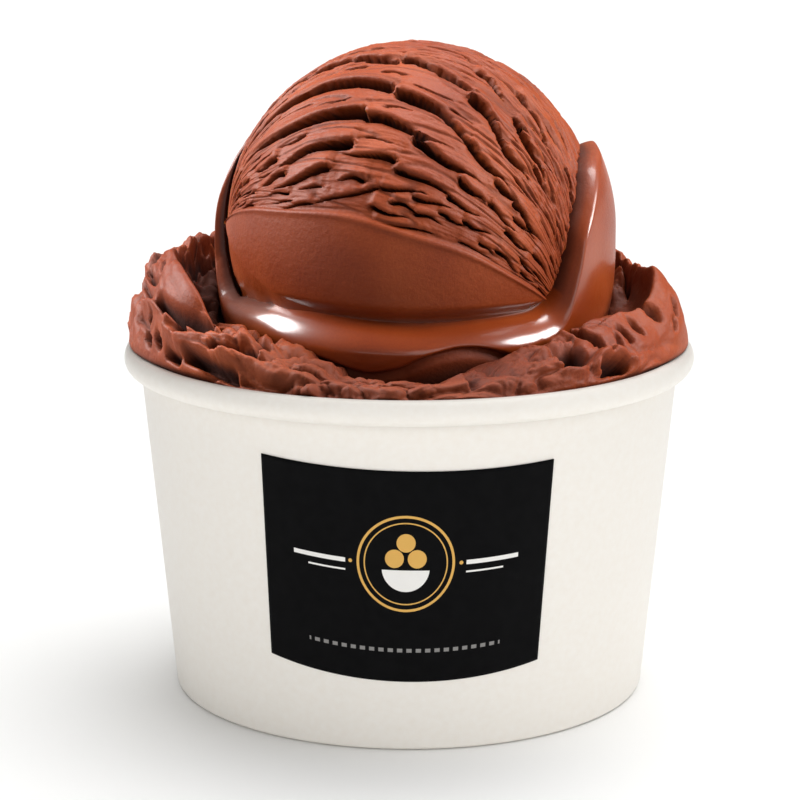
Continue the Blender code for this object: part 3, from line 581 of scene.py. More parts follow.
def make_base(material):
    """The raised floor of the cup, with its edge turned down inside the foot."""
    skirt_bottom = 1.4 * MM
    outer = wall_radius(BASE_TOP) - PAPER - CLEARANCE
    outer_low = wall_radius(skirt_bottom) - PAPER - CLEARANCE
    bend = 0.8 * MM
    path = [(outer_low - PAPER / 2, skirt_bottom), (outer - PAPER / 2, BASE_TOP - PAPER / 2 - bend)]
    for angle in (30.0, 60.0, 90.0):
        a = math.radians(angle)
        path.append((outer - PAPER / 2 - bend * (1 - math.cos(a)), BASE_TOP - PAPER / 2 - bend * (1 - math.sin(a))))
    path += [(0.5 * outer, BASE_TOP - PAPER / 2), (0.05 * MM, BASE_TOP - PAPER / 2)]
    outline = strip_outline(path, PAPER)
    ends = sorted(range(len(outline)), key=lambda i: outline[i][0])[:2]
    outline = [(0.0, z) if i in ends else (r, z) for i, (r, z) in enumerate(outline)]
    mesh = turned(outline, "paper_base")
    return finished("paper_base", mesh, material, "cup_base")


def make_label(material):
    """A thin paper label bent round the front of the wall, with its own map in millimetres."""
    columns, rows = 96, 48
    bm = bmesh.new()
    bmesh.ops.create_grid(bm, x_segments=columns, y_segments=rows, size=1.0)
    lean = math.radians(LABEL_LEAN)
    half_height = (LABEL_TOP - LABEL_BOTTOM) / 2
    half_width = math.radians(LABEL_HALF_WIDTH) * wall_radius(LABEL_BOTTOM + half_height)
    flat = bm.loops.layers.uv.new("millimetres")
    for face in bm.faces:
        for loop in face.loops:
            x, y = loop.vert.co.xy
            loop[flat].uv = (x * half_width / MM, y * half_height / MM)
    for vertex in bm.verts:
        x, y = vertex.co.x, vertex.co.y
        across = x + y * lean * half_height / half_width
        up = y - x * lean * half_width / half_height
        bow = 1.0 - x * x
        top, bottom = LABEL_TOP - LABEL_TOP_SAG * bow, LABEL_BOTTOM - LABEL_BOTTOM_SAG * bow
        z = blend(bottom, top, (up + 1.0) / 2)
        azimuth = LABEL_CENTRE + LABEL_HALF_WIDTH * across
        place = direction_of(azimuth, 0.0) * (wall_radius(z) + 0.04 * MM)
        vertex.co = (place.x, place.y, z)
    bmesh.ops.recalc_face_normals(bm, faces=bm.faces)
    bm.faces.ensure_lookup_table()
    if bm.faces[0].normal.y > 0:
        bmesh.ops.reverse_faces(bm, faces=bm.faces)
    piece = finished("paper_label", mesh_of(bm, "paper_label"), material, "label")
    solidify = piece.modifiers.new("Paper", "SOLIDIFY")
    solidify.thickness = LABEL_THICKNESS
    solidify.offset = 1.0
    return piece


# The ball


class TwoPoles:
    """Arcs over the ball from its left pole to its right one. An angle turns about the line between them."""

    left, right = LEFT_POLE / np.linalg.norm(LEFT_POLE), RIGHT_POLE / np.linalg.norm(RIGHT_POLE)
    middle = (left + right) / 2
    along = (right - left) / np.linalg.norm(right - left)
    outward = middle / np.linalg.norm(middle)
    upward = np.cross(outward, along)
    half_chord = np.linalg.norm(right - left) / 2

    @classmethod
    def points(cls, angle, share):
        """Unit directions at angles in degrees, a share of the way along each arc."""
        a = np.radians(angle)[..., None]
        out = cls.outward * np.cos(a) + cls.upward * np.sin(a)
        drop = np.linalg.norm(cls.middle) * np.cos(a)
        radius = np.hypot(cls.half_chord, drop)
        reach = np.arctan2(cls.half_chord, drop) * (2.0 * np.asarray(share)[..., None] - 1.0)
        return cls.middle + out * (radius * np.cos(reach) - drop) + cls.along * radius * np.sin(reach)

    @classmethod
    def seen_from_front(cls, right, up):
        """The (angle, share) of a place given in millimetres right of and above the ball's centre."""
        u, v = right * MM / BALL_RADIUS, up * MM / BALL_RADIUS
        w = math.sqrt(max(0.0, 1.0 - u * u - v * v))
        c, s = math.cos(SIGHT_PITCH), math.sin(SIGHT_PITCH)
        off = np.array((u, v * s - w * c, v * c + w * s)) - cls.middle
        angle = math.atan2(off @ cls.upward, off @ cls.outward)
        out = cls.outward * math.cos(angle) + cls.upward * math.sin(angle)
        drop = np.linalg.norm(cls.middle) * math.cos(angle)
        reach = math.atan2(off @ cls.along, off @ out + drop)
        return math.degrees(angle) % 360.0, (reach / math.atan2(cls.half_chord, drop) + 1.0) / 2


def is_crowded(cracks, angle, start, end, apart, off_end):
    """Whether a new crack would come too close to one of those there are."""
    middle = (start + end) / 2
    for a0, s0, a1, s1, width, _ in cracks:
        at = min(1.0, max(0.0, (middle - s0) / (s1 - s0)))
        off_share = max(0.0, min(s0, s1) - max(start, end), min(start, end) - max(s0, s1))
        if abs(angle - blend(a0, a1, at)) < apart + width and off_share < off_end:
            return True
    return False


def all_cracks():
    """Cracks as (angle, share) at the blunt end and at the tapered end, with width and depth in millimetres."""
    cracks = []
    for x0, y0, x1, y1, width in CRACKS:
        wide = CRACK_WIDENING * width
        (a0, s0), (a1, s1) = TwoPoles.seen_from_front(x0, y0), TwoPoles.seen_from_front(x1, y1)
        a1, s1 = blend(a0, a1, CRACK_LENGTHENING), blend(s0, s1, CRACK_LENGTHENING)
        cracks.append((a0, s0, a1, min(0.965, max(0.03, s1)), wide, 1.8 + 1.6 * wide))
    draw = random.Random(21)
    for near, count in ((True, SMALL_CRACKS), (False, FAR_CRACKS)):
        wanted = len(cracks) + count
        for _ in range(CRACK_TRIES):
            angle = draw.uniform(RIDGES_START + 1.5, 132.0) if near else draw.uniform(130.0, RIDGES_END - 4.0)
            start = draw.uniform(0.1, 0.88)
            forward = 1.0 if start > 0.42 else -1.0
            end = start + forward * (draw.uniform(0.045, 0.11) if near else draw.uniform(0.08, 0.2))
            width = draw.uniform(0.35, 0.7) if near else draw.uniform(0.45, 0.9)
            clear = (2.7 if near else 4.0, 0.012)
            if 0.04 < end < 0.965 and not is_crowded(cracks, angle, start, end, *clear):
                cracks.append((angle, start, angle + draw.uniform(-1.5, 1.5), end, width, 1.2 + 1.5 * width))
            if len(cracks) == wanted:
                break
    return cracks


def crack_relief(angle, share, pace, reach):
    """How far the cracks sink the ball and their lips raise it, and how far the lips hang down over them.

    pace is the metres for each degree of angle, reach the metres for a whole arc.
    """
    depth = np.zeros_like(angle)
    lip = np.zeros_like(angle)
    hang = np.zeros_like(angle)
    for angle0, share0, angle1, share1, width, deep in all_cracks():
        length = abs(share1 - share0) * reach
        margin = 3.0 * MM / reach
        low, high = min(share0, share1) - margin, max(share0, share1) + margin
        near = (share > low) & (share < high) & (np.abs(angle - (angle0 + angle1) / 2) < 26.0)
        near = np.nonzero(near)[0]
        along = (share[near] - share0) / (share1 - share0)
        wobble = 0.22 * width * MM * np.sin(along * 6.0 + angle0)
        off = (angle[near] - blend(angle0, angle1, along)) * pace[near] + wobble
        blunt = 0.6 * MM / length
        tapering = np.clip(1.0 - along, 0.0, 1.0)
        body = np.clip(along / blunt, 0.0, 1.0) ** 0.5 * tapering**0.6
        half = np.maximum(0.5 * width * MM * body, 1e-7)
        across = (off / half + 1.0) / 2
        inside = (along > 0.0) & (along < 1.0) & (across > 0.0) & (across < 1.0)
        sunk = deep * MM * tapering**0.25 * smooth_step(across / 0.75) * smooth_step((1.0 - across) / 0.18)
        depth[near] = np.where(inside, np.maximum(depth[near], sunk), depth[near])
        tip = smooth_step((along + 1.2 * blunt) / (1.8 * blunt)) * np.clip(1.15 - along, 0.0, 1.0) ** 0.6
        strength = min(1.0, width / (1.5 if angle0 < 126.0 else 3.5)) * tip
        above = off - half
        roll = smooth_step((above + 0.25 * MM) / (0.65 * MM)) * np.exp(-np.maximum(above - 0.5 * MM, 0.0) / LIP_ROLL)
        below = np.exp(-(((off + half) / (0.7 * MM)) ** 2)) * (off < -0.5 * half)
        lip[near] = np.maximum(lip[near], LIP_HEIGHT * strength * roll)
        depth[near] = np.maximum(depth[near], 0.3 * MM * strength * below)
        over = np.exp(-(((above - 0.1 * MM) / (0.35 * MM)) ** 2)) * (above > 0.0)
        hang[near] = np.maximum(hang[near], LIP_HANG * strength * over * (along > 0.0))
    return depth, lip, hang


def noise_over(first, second, third=0.0):
    """Perlin noise read at pairs of coordinates."""
    return np.array([noise.noise(Vector((a, b, third))) for a, b in zip(first.tolist(), second.tolist())])


def make_ball(material):
    """The rolled ball: a smooth skin in front and below, and over it the ridges that the scoop tore up."""
    ends = (SKIN_START, RIDGES_START - 3.0, SIGHT_END, RIDGES_END, SKIN_START + 360.0)
    angles = np.concatenate([np.linspace(a, b, n, endpoint=False) for a, b, n in zip(ends, ends[1:], BALL_COLUMNS)])
    grid = RoundGrid(len(angles), BALL_RINGS)
    angle = angles[grid.column]
    share = grid.ring / BALL_RINGS
    direction = TwoPoles.points(angle, share)
    step = 0.5
    pace = np.linalg.norm(TwoPoles.points(angle + step, share) - TwoPoles.points(angle - step, share), axis=1)
    pace = np.maximum(pace * BALL_RADIUS / (2 * step), 1e-7)
    warp = 2.2 * noise_over(share * 5.0, angle * 0.05, 3.0)
    ridged_now = smooth_step((angle - RIDGES_START + warp) / 2.2) * smooth_step((RIDGES_END - angle) / 6.0)
    poles = smooth_step(np.minimum(share, 1.0 - share) / 0.1)
    depth, lip, hang = crack_relief(angle, share, pace, ARC_LENGTH)
    rows = np.abs(noise_over((angle + warp) / ROW_SPACING, share * 5.5))
    furrow = 1.0 - smooth_step(rows / 0.13)
    fine = np.abs(noise_over((angle + warp) / (0.45 * ROW_SPACING), share * 9.0, 7.0))
    fine = 1.0 - smooth_step(fine / 0.2)
    right = smooth_step((share - 0.52) / 0.2) * smooth_step((angle - 84.0) / 18.0)
    top = smooth_step((angle - 112.0) / 8.0)
    lined = np.maximum(right, top)
    fibre = noise_over(angle * 1.1, share * 12.0, 2.0)
    swell = np.array([noise.noise(Vector(d) * 1.6) for d in direction])
    grain = np.array([noise.noise(Vector(d) * 38.0) + 0.7 * noise.noise(Vector(d) * 80.0) for d in direction])
    torn = np.array([noise.noise(Vector(d) * 9.0) for d in direction])
    radius = BALL_RADIUS * (1.0 + 0.006 * swell)
    crust = smooth_step((torn + 0.15 + 0.3 * lined) / 0.35)
    fur = (0.22 + 0.35 * lined) * furrow + (0.06 + 0.26 * lined) * fine - 0.07 * fibre - 0.09 * grain * crust
    radius -= ridged_now * poles * fur * MM
    radius += ridged_now * poles * lip
    radius -= ridged_now * np.clip(poles * 2.0, 0.0, 1.0) * depth
    edge = smooth_step((RIDGES_START + 1.0 - angle - warp) / 1.6)
    smear = np.exp(-(((angle + warp - RIDGES_START + 1.4) / 1.3) ** 2))
    radius += SKIN_THICKNESS * (edge + 0.6 * smear)
    lip_line = kdtree.KDTree(EDGE_POINTS)
    trenches = []
    for i in range(EDGE_POINTS):
        azimuth = 360.0 * i / EDGE_POINTS
        lip_line.insert(collar_edge_at(azimuth), i)
        trenches.append([table(azimuth) * MM for table in (trench_depth, trench_flat, trench_slope)])
    lip_line.balance()
    nearest = [lip_line.find(d)[1:] for d in direction]
    off_edge = np.array([n[1] for n in nearest]) * BALL_RADIUS
    deep, flat, slope = np.array([trenches[n[0]] for n in nearest]).T
    radius -= deep * (1.0 - smooth_step((off_edge - flat) / slope))
    leaned = TwoPoles.points(angle - hang * ridged_now / pace, share)
    points = np.array(BALL_CENTRE) + leaned * radius[:, None]
    moist = np.exp(-((off_edge / (2.6 * MM)) ** 2)) * (1.0 - ridged_now)
    shut = 1.0 - smooth_step((off_edge - 0.2 * flat) / (0.8 * MM))
    # Painted shade: the colour is darkened in the cracks and fine furrows, and in the trench where the collar closes
    # over the ball.
    hollow = ridged_now * np.maximum(0.92 * smooth_step(depth / (1.1 * MM)), 0.3 * furrow)
    hollow = np.maximum(hollow, 0.3 * shut * deep / MM)
    mesh = grid.moved_to(points, "gelato_ball", moist=moist.tolist(), hollow=np.clip(hollow, 0.0, 0.95).tolist())
    return finished("gelato_ball", mesh, material, "gelato_scoop")


# The collar


def drape_at(azimuth, elevation):
    """How much of the drape there is at an azimuth, and how many millimetres a place is above its edge."""
    front = float(smooth_step((85.0 - abs(azimuth)) / 30.0))
    return front, math.radians(elevation - drape_edge(azimuth)) * 32.5


def collar_radius(direction):
    """The distance from the ball's centre to the collar's outer face."""
    azimuth = math.degrees(math.atan2(direction.x, -direction.y))
    waist = collar_waist(azimuth) * MM
    flat, rise = math.hypot(direction.x, direction.y), direction.z
    elevation = math.degrees(math.asin(max(-1.0, min(1.0, rise))))
    if rise > 0.0:
        lean = (elevation / 25.0) ** 1.5
        return BALL_RADIUS + (waist - BALL_RADIUS) * max(0.25, 1.0 - collar_taper(azimuth) * lean)
    powers = (flat / waist) ** COLLAR_POWER + (-rise / COLLAR_DEPTH) ** COLLAR_POWER
    radius = powers ** (-1.0 / COLLAR_POWER)
    front, off_drape = drape_at(azimuth, elevation)
    if front == 0.0:
        return radius
    drape = 0.55 / (1.0 + math.exp(-off_drape / 0.22)) * math.exp(-max(0.0, off_drape - 2.0) / 5.0)
    crease = math.exp(-(((off_drape + 0.75) / 0.75) ** 2))
    return radius + front * (drape - crease) * MM


def evenly_spaced_azimuths(count):
    """Azimuths whose points are evenly spaced along the collar's edge, which climbs steeply in places."""
    fine = 2880
    points = [collar_edge_at(360.0 * i / fine) for i in range(fine + 1)]
    lengths = [0.0]
    for a, b in zip(points, points[1:]):
        lengths.append(lengths[-1] + (b - a).length)
    wanted = np.arange(count) / count * lengths[-1]
    return np.interp(wanted, lengths, np.linspace(0.0, 360.0, fine + 1))


def make_collar(material):
    """The collar: a thin lip stood off the ball at the sides, a rolled band in front, and a bowl under the ball."""
    bottom = Vector((0.0, 0.12, -1.0)).normalized()
    azimuths = evenly_spaced_azimuths(COLLAR_COLUMNS)
    grid = RoundGrid(COLLAR_COLUMNS, COLLAR_RINGS)
    last = COLLAR_RINGS
    edge_ring = 5
    points, moist, hollow = [], [], []
    for column, ring in zip(grid.column.tolist(), grid.ring.tolist()):
        turn = abs((azimuths[column] + 180.0) % 360.0 - 180.0)
        moist.append(blend(0.25, 1.0, float(smooth_step((70.0 - turn) / 20.0))))
        # Painted shade: the rings at the collar's edge, tucked against the ball, are painted dark.
        hollow.append(0.85 if ring <= edge_ring else 0.0)
        if ring == 0:
            points.append(BALL_CENTRE + Vector((0.0, 0.0, BALL_RADIUS * 0.35)))
            continue
        if ring == last:
            points.append(BALL_CENTRE + bottom * collar_radius(bottom))
            continue
        azimuth = azimuths[column]
        edge = collar_edge_at(azimuth)
        arc = edge.angle(bottom)
        slot = max(0.0, slot_reach(azimuth)) * MM / BALL_RADIUS / arc
        stood_off = min(1.0, max(0.0, slot_reach(azimuth)) / 1.5)
        under = blend(blend(0.85, 0.955, min(1.0, turn / 50.0)) * BALL_RADIUS, BALL_RADIUS + 0.5 * MM, stood_off)
        if ring == 1:
            points.append(BALL_CENTRE + edge.slerp(bottom, slot) * 0.78 * BALL_RADIUS)
            continue
        if ring <= edge_ring:
            direction = edge.slerp(bottom, slot * (1.0 - (ring - 2) / (edge_ring - 2)))
            points.append(BALL_CENTRE + direction * min(under, collar_radius(direction) - 0.4 * MM))
            continue
        step = ((ring - edge_ring) / (last - edge_ring)) ** 1.7
        direction = edge.slerp(bottom, step)
        inside = arc * step * BALL_RADIUS / (lip_width(azimuth) * MM)
        lip = math.sqrt(max(0.0, 1.0 - (1.0 - min(1.0, inside)) ** 2))
        outer = collar_radius(direction)
        here = math.degrees(math.atan2(direction.x, -direction.y))
        front, off_drape = drape_at(here, math.degrees(math.asin(direction.z)))
        # Painted shade below the drape's edge on the bowl under the band, and at the sides painted shade on the lip's
        # inner face.
        shade = 0.3 * smooth_step((0.3 - off_drape) / 0.9) + 0.45 * smooth_step((-1.6 - off_drape) / 3.0)
        hollow[-1] = front * float(shade)
        moist[-1] *= (1.0 - hollow[-1]) * blend(1.0, float(smooth_step((off_drape + 1.2) / 1.2)), front)
        if turn > 50.0:
            hollow[-1] = max(hollow[-1], 0.8 * (1.0 - min(1.0, inside * 4.0)))
        swell = 0.12 * MM * noise.noise(direction * 5.0)
        points.append(BALL_CENTRE + direction * blend(min(under, outer - 0.4 * MM), outer + swell, lip))
    mesh = grid.moved_to(points, "gelato_collar", moist=moist, hollow=hollow)
    return finished("gelato_collar", mesh, material, "gelato_scoop")


# The bed


def socket_point(azimuth, elevation, gap):
    """A (radius, height) on the collar's outer face, a gap away from it, measured from the cup's axis."""
    direction = direction_of(azimuth, elevation)
    place = BALL_CENTRE + direction * (collar_radius(direction) + gap)
    return math.hypot(place.x, place.y), place.z


def elevation_at_height(azimuth, height, gap):
    """The elevation at which the collar's outer face, moved out by a gap, passes a height."""
    low, high = -60.0, 10.0
    for _ in range(20):
        middle = (low + high) / 2
        if socket_point(azimuth, middle, gap)[1] < height:
            low = middle
        else:
            high = middle
    return low


def rim_top(radius):
    """The height of the rolled rim's top at a radius."""
    off = min(1.0, abs(radius - RIM_RADIUS + RIM_WIDTH / 2) / (RIM_WIDTH / 2))
    return CUP_HEIGHT + RIM_DEPTH / 2 * (math.sqrt(1.0 - off * off) - 1.0)


def bed_profile(azimuth):
    """The bed's section at an azimuth, from the seat under the ball, over the crest, to the cup's floor."""
    crest = crest_height(azimuth) * MM
    crest_r = crest_radius(azimuth) * MM
    overhang = max(0.0, rim_overhang(azimuth)) * MM
    full = float(smooth_step((crest - 60.0 * MM) / (9.0 * MM)))
    over = min(1.0, overhang / (2.6 * MM))
    gap = 2.0 * CLEARANCE
    contact = contact_height(azimuth) * MM
    r_in, z_in = socket_point(azimuth, elevation_at_height(azimuth, contact, gap), gap)
    bottom = elevation_at_height(azimuth, contact - GAP_BESIDE_COLLAR, gap)
    seat = [socket_point(azimuth, blend(-80.0, bottom, i / SEAT_RINGS), gap) for i in range(SEAT_RINGS)]
    curled = min(1.0, max(0.0, curl(azimuth)))
    lip_z = CUP_HEIGHT + 2 * CLEARANCE
    rise = crest - z_in
    room = crest_r - r_in
    drop = crest - lip_z
    outer_r = RIM_RADIUS - RIM_WIDTH + CLEARANCE + overhang
    shoulders = []
    for low_r, full_r, off, curled_off, down, curled_down, lift in SHOULDERS:
        radius = max(blend(low_r * MM, full_r * MM, full), crest_r + blend(off, curled_off, curled) * MM)
        shoulders.append((radius, crest - blend(down, curled_down, curled) * drop + lift * MM * (1.0 - full)))
    exposed = [
        socket_point(azimuth, bottom, gap),
        (r_in + 0.6 * MM, z_in - 0.5 * GAP_BESIDE_COLLAR),
        (r_in + 1.3 * MM, z_in - 0.3 * MM * (1.0 - curled) - 1.6 * MM * curled),
        (r_in + blend(0.42, 0.62, curled) * room, z_in + blend(0.14, -0.06, curled) * rise),
        (r_in + blend(0.74, 0.86, curled) * room, z_in + blend(0.6, 0.42, curled) * rise),
        (crest_r, crest),
        *shoulders,
        (outer_r, rim_top(outer_r) + 0.35 * MM),
    ]
    inner = wall_radius(0.0) - PAPER - CLEARANCE
    side_low, side_high = BASE_TOP + 1.6 * MM, CUP_HEIGHT - RIM_DEPTH
    rim_inside = RIM_RADIUS - RIM_WIDTH - CLEARANCE
    off_rim = 1.5 * CLEARANCE
    shoulder_r = RIM_RADIUS - RIM_WIDTH / 2 - math.sqrt(0.5) * (RIM_WIDTH / 2 + off_rim)
    shoulder_z = CUP_HEIGHT - RIM_DEPTH / 2 + math.sqrt(0.5) * (RIM_DEPTH / 2 + off_rim)
    hidden = [
        (blend(rim_inside, RIM_RADIUS - 0.55 * RIM_WIDTH, over), blend(CUP_HEIGHT - 0.9 * MM, lip_z, over)),
        (blend(rim_inside, shoulder_r, over), blend(CUP_HEIGHT - 1.3 * MM, shoulder_z, over)),
        (rim_inside, CUP_HEIGHT - 0.4 * RIM_DEPTH),
        (inner + WALL_FLARE * side_high - 0.2 * MM, side_high),
        (inner + WALL_FLARE * 30.0 * MM, 30.0 * MM),
        (inner + WALL_FLARE * side_low, side_low),
        (inner - 1.0 * MM, BASE_TOP + CLEARANCE),
    ]
    return seat, exposed, hidden


def along_section(points, at):
    """A point on a smooth curve through the points, at a position counted in points."""
    i = min(int(at), len(points) - 2)
    share = at - i
    p0, p1, p2, p3 = (Vector(points[max(0, min(len(points) - 1, i + n))]) for n in (-1, 0, 1, 2))
    return p1 + 0.5 * share * (
        (p2 - p0) + share * (2 * p0 - 5 * p1 + 4 * p2 - p3 + share * (3 * p1 - p0 - 3 * p2 + p3))
    )


def crag(place):
    """Churned rolls with creases between them, drawn out along the slope of the crest: height, and crease, the share of
    painted shade that the creases get. height and crease.
    """
    azimuth = math.atan2(place.x, -place.y)
    radius = math.hypot(place.x, place.y)
    rise = 9.0 * MM * (math.pi / 2 - abs(abs(azimuth) - math.pi / 2))
    around = azimuth * 40.0 * MM
    spot = Vector((around / (1.7 * CRAG_SIZE), (place.z - rise) / CRAG_SIZE, radius / CRAG_SIZE))
    spot += noise.noise_vector(spot * 0.9) * 0.6
    rolls = abs(noise.noise(spot * 1.3))
    small_spot = spot * 3.1 + noise.noise_vector(spot * 2.1) * 0.8
    small = abs(noise.noise(small_spot))
    torn = max(0.0, noise.noise(spot * 1.5 + Vector((9.0, 0.0, 0.0))) + 0.2)
    grain = torn * (0.2 * noise.noise(spot * 11.0) + 0.14 * noise.noise(spot * 24.0))
    height = 1.25 * min(1.0, rolls / 0.42) ** 0.65 - 0.65 + 0.36 * min(1.0, small / 0.35) ** 0.65 - 0.2 + grain
    height += 0.35 * noise.noise(spot * 0.7)
    return height, max(1.0 - rolls / 0.07, 0.6 - small / 0.12, 0.0)


def all_folds():
    """The broad folds scattered over the sides and the back."""
    draw = random.Random(5)
    folds = []
    for i in range(BACK_FOLDS):
        azimuth = 98.0 + 180.0 * (i + draw.uniform(0.1, 0.9)) / BACK_FOLDS
        hollow = i % 2 == 0
        height = draw.uniform(60.0, 69.0)
        turn = draw.uniform(-45.0, 45.0)
        if hollow:
            size, off = (draw.uniform(1.5, 3.6), draw.uniform(1.2, 1.8)), -draw.uniform(1.6, 2.8)
        else:
            size, off = (draw.uniform(3.5, 6.5), draw.uniform(1.6, 2.4)), draw.uniform(0.8, 1.6)
        folds.append((azimuth, height, *size, turn, off))
    return folds


def all_traces():
    """The traces in sight from the front, and more of the same kind round the sides and the back."""
    draw = random.Random(8)
    traces = list(TRACES)
    for i in range(FAR_TRACES):
        azimuth = 100.0 + 174.0 * (i + draw.random()) / FAR_TRACES
        height = draw.uniform(59.5, 72.0)
        if i % 3 == 0:
            size, off, kind = draw.uniform(0.6, 1.1), draw.uniform(0.8, 1.6), ROLL
            length = draw.uniform(3.0, 8.0)
        else:
            size, off, kind = draw.uniform(0.45, 1.0), -draw.uniform(1.4, 3.8), PIT
            length = draw.uniform(0.5, 3.5)
        turn = draw.uniform(-0.9, 0.9)
        bend = draw.uniform(-1.0, 1.0)
        points = []
        for along in (-0.5, 0.0, 0.5):
            up = length * along * math.sin(turn) + bend * (0.25 - along * along)
            points.append((azimuth + length * along * math.cos(turn) / 0.73, height + up))
        traces.append((size, off, kind, *points))
    return traces


def relief(places):
    """How far the folds and traces near each place raise or sink it."""
    azimuth = np.degrees(np.arctan2(places[:, 0], -places[:, 1]))
    height = places[:, 2] / MM
    total = np.zeros(len(places))
    for at, level, length, width, turn, off in all_folds():
        along = np.radians((azimuth - at + 180.0) % 360.0 - 180.0) * BED_MIDDLE
        up = height - level
        c, s = math.cos(math.radians(turn)), math.sin(math.radians(turn))
        a, b = (along * c + up * s) / length, (up * c - along * s) / width
        total += 1.3 * off * np.exp(-(a * a + b * b))
    raised, sunk = np.zeros(len(places)), np.zeros(len(places))
    for width, off, squareness, *points in all_traces():
        distance = np.full(len(places), 1e3)
        middle = points[len(points) // 2][0]
        across = np.radians((azimuth - middle + 180.0) % 360.0 - 180.0) * BED_MIDDLE
        for (a0, z0), (a1, z1) in zip(points, points[1:]):
            start = np.array((math.radians(a0 - middle) * BED_MIDDLE, z0))
            step = np.array((math.radians(a1 - a0) * BED_MIDDLE, z1 - z0))
            off_x, off_z = across - start[0], height - start[1]
            share = np.clip((off_x * step[0] + off_z * step[1]) / (step @ step), 0.0, 1.0)
            distance = np.minimum(distance, np.hypot(off_x - share * step[0], off_z - share * step[1]))
        shape = off * np.exp(-((distance / width) ** squareness))
        raised, sunk = np.maximum(raised, shape), np.minimum(sunk, shape)
    return (total + raised + sunk) * MM, -sunk


def kept_clear(place):
    """A place on the bed's open side, moved out of the collar and in from beyond the rim."""
    off_centre = place - BALL_CENTRE
    least = collar_radius(off_centre.normalized()) + 0.3 * CLEARANCE
    if off_centre.length < least:
        place = BALL_CENTRE + off_centre * (least / off_centre.length)
    reach = math.hypot(place.x, place.y)
    room = WIDEST_BED - EASED_FROM
    if reach > EASED_FROM:
        eased = EASED_FROM + room * (1.0 - math.exp(-(reach - EASED_FROM) / room))
        place.xy *= eased / reach
        reach = eased
    if reach > RIM_RADIUS - RIM_WIDTH:
        place.z = max(place.z, rim_top(reach) + 0.2 * MM)
    return place


def make_bed(material):
    """The bed: it fills the cup, takes the ball in a seat, and heaves up over the rim at the sides."""
    exposed_count, hidden_count = 9, 7
    seat_at = np.arange(SEAT_RINGS)
    exposed_at = SEAT_RINGS - 1 + exposed_count * (np.arange(EXPOSED_RINGS) + 1) / EXPOSED_RINGS
    hidden_at = exposed_at[-1] + hidden_count * (np.arange(HIDDEN_RINGS) + 1) / HIDDEN_RINGS
    places = np.concatenate((seat_at, exposed_at, hidden_at))
    rings = len(places) + 1
    grid = RoundGrid(BED_COLUMNS, rings)
    turn = 360.0 * np.arange(BED_COLUMNS) / BED_COLUMNS
    azimuths = turn - BED_CROWDING * np.sin(np.radians(turn))
    sections = [[p for part in bed_profile(a) for p in part] for a in azimuths]
    points, bares, lows, hollow = [], [], [], []
    for column, ring in zip(grid.column, grid.ring):
        if ring in (0, rings):
            height = BALL_CENTRE.z - COLLAR_DEPTH - 2 * CLEARANCE if ring == 0 else BASE_TOP + CLEARANCE
            points.append(Vector((0.0, 0.0, height)))
            for shares in (bares, lows, hollow):
                shares.append(0.0)
            continue
        at = float(places[ring - 1])
        radius, z = along_section(sections[column], at)
        around = direction_of(azimuths[column], 0.0)
        points.append(Vector((around.x * radius, around.y * radius, z)))
        bares.append(float(smooth_step(at - SEAT_RINGS) * smooth_step((SEAT_RINGS + exposed_count - at) / 0.25)))
        # Painted shade: the bed is darkened beside the collar, by the share in SHADE_INSIDE, and in a strip just above
        # the rim.
        deep_inside = 1.4 + 2.4 * min(1.0, max(0.0, curl(azimuths[column])))
        inner = max(0.0, shade_inside(azimuths[column])) * (1.0 - smooth_step((at - SEAT_RINGS - deep_inside) / 1.4))
        low = smooth_step((at - SEAT_RINGS - exposed_count + 1.2) / 0.25)
        lows.append(float(low))
        hollow.append(float(max(inner, 0.8 * low)))
    offsets, sunk = relief(np.array(points))
    for i, (place, bare, low, fold, pit) in enumerate(zip(points, bares, lows, offsets.tolist(), sunk.tolist())):
        if bare > 0.0:
            core = Vector((place.x, place.y, 0.0)).normalized() * BED_CORE[0] * MM
            core.z = BED_CORE[1] * MM
            height, crease = crag(place)
            turned_to = math.degrees(math.atan2(place.x, -place.y))
            rugged = cragginess(turned_to) * (1.0 - 0.6 * hollow[i])
            # Painted shade over the front of the bed, where the ball shades it, and in the pits and creases.
            shaded = 0.5 * float(smooth_step((48.0 - abs(turned_to)) / 28.0))
            off = CRAG_HEIGHT * height * rugged + fold
            off = blend(off, min(0.5 * off, 0.0) - 0.3 * MM, low)
            points[i] = kept_clear(place + (place - core).normalized() * bare * off)
            hollow[i] = max(hollow[i], shaded, 0.95 * float(smooth_step(pit / 2.4)), 0.7 * crease * rugged)
    mesh = grid.moved_to(points, "gelato_folds", hollow=hollow)
    return finished("gelato_folds", mesh, material, "gelato_bed")


# Stage


def soft_light(name, azimuth, elevation, strength, spread, lit):
    """A soft light, even over the whole floor, from a direction, flagged off everything but the lit pieces."""
    light = bpy.data.lights.new(name, "SUN")
    light.energy = strength * math.pi
    light.angle = math.radians(spread)
    lamp = in_scene(name, light)
    lamp.location = direction_of(azimuth, elevation)
    lamp.rotation_euler = lamp.location.to_track_quat("Z", "Y").to_euler()
    lamp.light_linking.receiver_collection = lit


def lit_together(name, pieces):
    """A group of pieces that a light falls on."""
    group = bpy.data.collections.new(name)
    for piece in pieces:
        group.objects.link(piece)
    return group


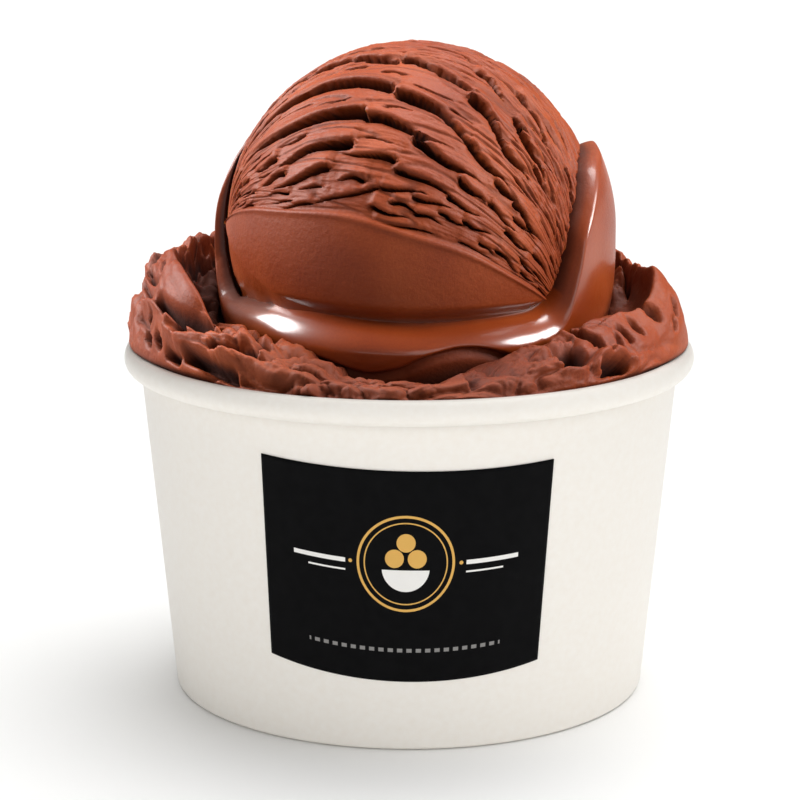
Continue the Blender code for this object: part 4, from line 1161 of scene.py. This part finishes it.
def make_floor():
    """A plain pale floor."""
    bm = bmesh.new()
    bmesh.ops.create_grid(bm, x_segments=1, y_segments=1, size=3.0)
    floor = in_scene("floor", mesh_of(bm, "floor"))
    paint, _ = new_material("floor_paint", {"Roughness": 0.8, "Base Color": linear("#F4F4F3")})
    floor.data.materials.append(paint)
    return floor


def make_lights(floor, paper, gelato):
    """Even light for the cup and the floor, and a stronger one from both sides and above for the gelato."""
    world = bpy.data.worlds.new("studio")
    bpy.context.scene.world = world
    world.use_nodes = True
    background = world.node_tree.nodes["Background"]
    background.inputs["Color"].default_value = (1.0, 1.0, 1.0, 1.0)
    background.inputs["Strength"].default_value = 0.2
    groups = {"room": [floor, *paper], "ground": [floor], "dish": gelato}
    groups = {name: lit_together(name, pieces) for name, pieces in groups.items()}
    for name, azimuth, elevation, strength, spread, lit in LIGHTS:
        soft_light(name, azimuth, elevation, strength, spread, groups[lit])


def make_camera():
    """The camera at the photograph's angle."""
    camera = bpy.data.cameras.new("camera")
    camera.sensor_width = 36.0
    camera.lens = CAMERA_LENS
    camera.clip_start, camera.clip_end = 10.0 * MM, 20.0
    holder = in_scene("camera", camera)
    holder.location = CAMERA_PLACE
    holder.rotation_euler = (math.radians(90.0 - CAMERA_PITCH), 0.0, 0.0)
    bpy.context.scene.camera = holder
    bpy.context.scene.view_settings.view_transform = "Standard"


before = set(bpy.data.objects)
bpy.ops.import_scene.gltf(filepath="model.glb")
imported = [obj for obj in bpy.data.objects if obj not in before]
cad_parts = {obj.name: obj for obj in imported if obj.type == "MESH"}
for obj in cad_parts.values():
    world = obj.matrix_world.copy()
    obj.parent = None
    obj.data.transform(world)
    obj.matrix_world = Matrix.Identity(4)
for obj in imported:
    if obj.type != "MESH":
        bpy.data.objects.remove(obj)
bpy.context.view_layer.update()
noise.seed_set(NOISE_SEED)
make_camera()
board = coated_board()
paper = [make_wall(board), make_base(board), make_label(printed_label())]
chocolate = churned_gelato()
gelato = [make_ball(chocolate), make_collar(chocolate), make_bed(chocolate)]
make_lights(make_floor(), paper, gelato)
